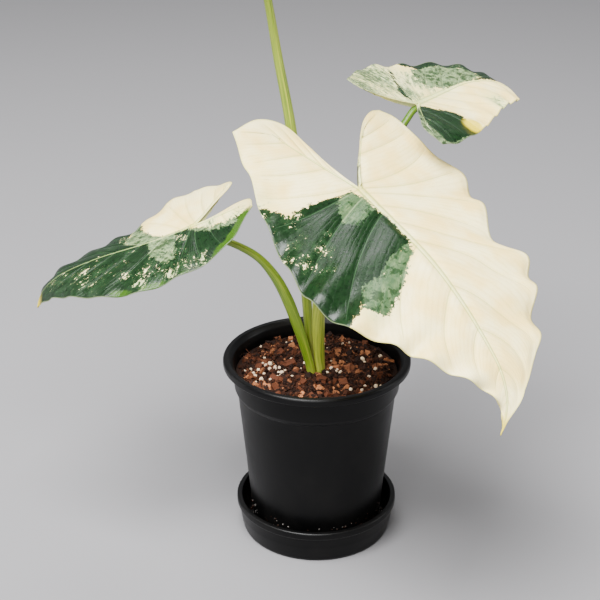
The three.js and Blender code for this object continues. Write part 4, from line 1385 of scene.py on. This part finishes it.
def bead_shape(work, subdivisions=2):
    return work.node("GeometryNodeMeshIcoSphere", {"Radius": 1.0, "Subdivisions": subdivisions}).outputs[0]


def pebble_shape(work):
    return work.node("GeometryNodeTransform", {
        "Geometry": bead_shape(work), "Scale": (1.2, 0.85, 0.65)}).outputs[0]


def crumb_shape(work):
    return bead_shape(work, 1)


def fibre_shape(work):
    line = work.node("GeometryNodeCurveQuadraticBezier", {
        "Resolution": 5, "Start": (-1, 0, -0.08), "Middle": (0.1, 0.5, 0.25), "End": (1, -0.1, -0.08)})
    ring = work.node("GeometryNodeCurvePrimitiveCircle", {"Resolution": 4, "Radius": 0.028})
    return work.node("GeometryNodeCurveToMesh", {
        "Curve": line.outputs[0], "Profile Curve": ring.outputs[0], "Fill Caps": True}).outputs[0]


def strewn(name, surface, shape, values):
    """Bits strewn over a surface by geometry nodes, as a plain mesh of their own."""
    work = scatter_tree(name, shape)
    holder = linked(name, surface)
    modifier = holder.modifiers.new("Scatter", "NODES")
    modifier.node_group = work.tree
    for title, value in values.items():
        modifier[work.sockets[title]] = value
    mesh = evaluated_mesh(holder)
    holder.modifiers.clear()
    bpy.data.objects.remove(holder)
    mesh.name = name
    return linked(name, mesh)


class TaroBuildMix(bpy.types.Operator):
    """Build the potting mix and strew bark, perlite, crumbs and fibres over it"""

    bl_idname = "taro.build_mix"
    bl_label = "Potting mix"

    def execute(self, context):
        settings = context.scene.taro_mix
        segments = MIX_SEGMENTS
        radii = np.concatenate((np.linspace(MIX_INNER, 60, 34), (62, 64, 66, 67.4)))
        top = mix_top_points(radii, segments)
        outline = [
            (0, STEM_HOLE_FLOOR), (STEM_HOLE, STEM_HOLE_FLOOR), (STEM_HOLE, ROOTSTOCK_TOP + 1),
            *[(radius, MIX_TOP) for radius in radii],
            (67.7, MIX_TOP - 3), (66.9, 137), (65.7, 133.6),
            (pot_inside(POT_STEP_Z, MIX_GAP), POT_STEP_Z - 1), (pot_inside(12, MIX_GAP), 12),
            (50.2, POT_INNER_FLOOR), (0, POT_INNER_FLOOR),
        ]
        points, faces = turned(outline, segments)
        points[:2 * segments, :2] += (STEM_X, STEM_Y)
        points[-2, :2] += (STEM_X, STEM_Y)
        points[2 * segments:2 * segments + len(top)] = top
        shell = Shell()
        shell.add(points, [face[::-1] for face in faces], 0)
        peat = bit_material("peat", settings.soil, settings.soil_pale, 0.95, 420)
        dressed(shell.made("potting_mix_dressed", peat), "potting_mix")

        bark = bit_material("bark", settings.bark_red, settings.bark_tan, 0.75, 260)
        dark_bark = bit_material("dark bark", settings.soil, settings.bark_red, 0.8, 300)
        white = bit_material("perlite", settings.perlite_stained, settings.perlite_white, 0.8, 500)
        damp = bit_material("damp crumbs", settings.soil, settings.damp, 0.3, 300)

        # Where the bits lie: the whole top, two spots with more perlite, the saucer's floor
        # and the foot of the pot's wall
        whole = patch(top, segments, (0, 0), 61.5)
        left = patch(top, segments, (-44, -10), 15)
        stem = patch(top, segments, (12, -8), 7)
        ledge = ring_band(((POT_FOOT + 0.8, SAUCER_FLOOR), (60.0, SAUCER_FLOOR)))
        wall = ring_band(((pot_radius(20), 20), (pot_radius(30), 30)))

        # All but the count and the tilt are in mm.
        titles = ("Count", "Smallest", "Largest", "Roughness", "Raise", "Apart", "Tilt")
        kinds = (
            ("bark_chips", whole, chip_shape, bark, (settings.bark, 2.4, 4.8, 3.0, 0.8, 5.0, 0.8)),
            ("bark_small", whole, pebble_shape, bark, (settings.bark, 1.0, 2.3, 2.0, 1.2, 2.4, 1.0)),
            ("bark_dark", whole, chip_shape, dark_bark, (settings.bark * 3, 1.6, 4.0, 2.6, 0.8, 2.4, 1.0)),
            ("perlite_beads", whole, bead_shape, white, (settings.perlite, 0.8, 2.0, 0.8, 2.0, 4.0, 0.6)),
            ("perlite_left", left, bead_shape, white, (20, 1.0, 2.0, 0.8, 2.0, 3.6, 0.6)),
            ("perlite_stem", stem, bead_shape, white, (7, 1.0, 1.6, 0.8, 2.2, 2.6, 0.6)),
            ("peat_crumbs", whole, crumb_shape, peat, (settings.crumbs, 0.5, 1.6, 1.1, 1.3, 0.9, 1.0)),
            ("bark_crumbs", whole, crumb_shape, dark_bark,
             (settings.crumbs // 3, 0.5, 1.3, 1.0, 1.6, 1.6, 1.0)),
            ("coir_fibres", whole, fibre_shape, dark_bark, (settings.fibres, 3.5, 8.5, 1.0, 2.2, 3.0, 0.4)),
            ("saucer_crumbs", ledge, crumb_shape, damp, (240, 0.5, 1.8, 1.0, 0.5, 1.2, 1.0)),
            ("wall_splashes", wall, crumb_shape, damp, (130, 0.3, 1.0, 1.0, 0.0, 1.2, 1.0)),
        )
        for offset, (name, ground, shape, material, numbers) in enumerate(kinds):
            values = dict(zip(titles, numbers), Seed=settings.seed + offset, Material=material)
            for title in titles[1:6]:
                values[title] *= MM
            added(strewn(name, ground, shape, values))
        return {"FINISHED"}


class TaroBuildRootstock(bpy.types.Operator):
    """Build the short stem that carries the petioles"""

    bl_idname = "taro.build_rootstock"
    bl_label = "Rootstock"

    def execute(self, context):
        outline = [(0, STEM_HOLE_FLOOR), (7, STEM_HOLE_FLOOR), (9.6, STEM_HOLE_FLOOR + 5)]
        for i in range(ROOTSTOCK_RINGS):
            rise = i * (ROOTSTOCK_TOP - STEM_HOLE_FLOOR - 14) / (ROOTSTOCK_RINGS - 1)
            z = STEM_HOLE_FLOOR + 12 + rise
            outline += [(ROOTSTOCK_RADIUS, z - 1.2), (ROOTSTOCK_RADIUS - 0.5, z), (ROOTSTOCK_RADIUS, z + 0.6)]
        outline += [(ROOTSTOCK_RADIUS, ROOTSTOCK_TOP), (0, ROOTSTOCK_TOP)]
        shell = Shell()
        shell.add(*turned(rounded(outline, 0.5), 64, (STEM_X, STEM_Y)), 0)
        settings = context.scene.taro_mix
        skin = bit_material("rootstock skin", settings.root_dark, settings.root_pale, 0.8, 180)
        dressed(shell.made("rootstock_dressed", skin), "rootstock")
        return {"FINISHED"}


class TaroBuildLeaves(bpy.types.Operator):
    """Build the four leaves, each with its petiole, veins and markings"""

    bl_idname = "taro.build_leaves"
    bl_label = "Leaves"

    def execute(self, context):
        settings = context.scene.taro_leaf
        for name, leaf in LEAVES.items():
            form = LeafForm(leaf)
            shell = Shell()
            add_blade(shell, form, settings)
            add_petiole(shell, form)
            tissue = leaf_material(name + " tissue", settings, leaf["paleness"])
            skin = stalk_material(name + " petiole", settings, leaf["shade"])
            dressed(shell.made(name + "_dressed", tissue, skin), name)
        return {"FINISHED"}


class TaroBuildStage(bpy.types.Operator):
    """Set the pale floor, the soft lights and the photograph's camera"""

    bl_idname = "taro.build_stage"
    bl_label = "Stage"

    def execute(self, context):
        settings = context.scene.taro_stage
        camera = linked("camera", bpy.data.cameras.new("camera"))
        camera.location = CAMERA_PLACE
        camera.rotation_euler = (math.radians(90 - CAMERA_DOWN), 0, 0)
        camera.data.lens = CAMERA_LENS
        camera.data.sensor_width = CAMERA_SENSOR
        camera.data.sensor_fit = "HORIZONTAL"
        context.scene.camera = camera

        mesh = bpy.data.meshes.new("floor")
        corners = [(x * FLOOR_REACH, y * FLOOR_REACH, 0) for x, y in ((-1, -1), (1, -1), (1, 1), (-1, 1))]
        mesh.from_pydata(corners, [], [(0, 1, 2, 3)])
        work = ShaderWork("floor")
        mesh.materials.append(work.finish(settings.floor, 0.85))
        linked("floor", mesh)

        # Place and size in metres
        lamps = (
            ("key", (-0.60, -1.15, 2.85), (2.0, 1.9), settings.key),
            ("front", (-0.35, -1.5, 0.8), (0.6, 0.6), settings.fill * 1.1),
            ("sheen", (-0.1, 0.75, 1.8), (0.9, 0.6), settings.sheen),
            ("left", (-1.4, 0.35, 0.6), (0.5, 1.2), settings.fill),
            ("right", (1.4, 0.1, 0.7), (0.5, 1.2), settings.fill),
        )
        for name, place, (width, height), power in lamps:
            data = bpy.data.lights.new(name, "AREA")
            data.shape = "RECTANGLE"
            data.size, data.size_y = width, height
            data.energy = power
            lamp = linked(name, data)
            lamp.location = place
            aim = Vector(LAMP_AIM) - Vector(place)
            lamp.rotation_euler = aim.to_track_quat("-Z", "Y").to_euler()
        world = bpy.data.worlds.new("surroundings")
        world.use_nodes = True
        background = world.node_tree.nodes["Background"]
        background.inputs["Color"].default_value = (*SKY_TINT, 1)
        background.inputs["Strength"].default_value = settings.sky
        context.scene.world = world
        return {"FINISHED"}


BUILDERS = (TaroBuildStage, TaroBuildSaucer, TaroBuildPot, TaroBuildMix, TaroBuildRootstock, TaroBuildLeaves)
GROUPS = {
    "taro_leaf": TaroLeafSettings,
    "taro_pot": TaroPotSettings,
    "taro_mix": TaroMixSettings,
    "taro_stage": TaroStageSettings,
}


class TaroPanel(bpy.types.Panel):
    """The pieces of the potted taro"""

    bl_idname = "VIEW3D_PT_taro"
    bl_label = "Potted taro"
    bl_space_type = "VIEW_3D"
    bl_region_type = "UI"
    bl_category = "Taro"

    def draw(self, context):
        for builder in BUILDERS:
            self.layout.operator(builder.bl_idname)
        for group in GROUPS:
            settings = getattr(context.scene, group)
            for name in settings.__annotations__:
                self.layout.prop(settings, name)


CLASSES = (*GROUPS.values(), *BUILDERS, TaroPanel)


def register():
    for kind in CLASSES:
        bpy.utils.register_class(kind)
    for name, kind in GROUPS.items():
        setattr(bpy.types.Scene, name, PointerProperty(type=kind))


def unregister():
    for name in GROUPS:
        delattr(bpy.types.Scene, name)
    for kind in reversed(CLASSES):
        bpy.utils.unregister_class(kind)


def main():
    register()
    bpy.ops.taro.build_stage()
    bpy.ops.taro.build_saucer()
    bpy.ops.taro.build_pot()
    bpy.ops.taro.build_mix()
    bpy.ops.taro.build_rootstock()
    bpy.ops.taro.build_leaves()


if __name__ == "__main__":
    main()
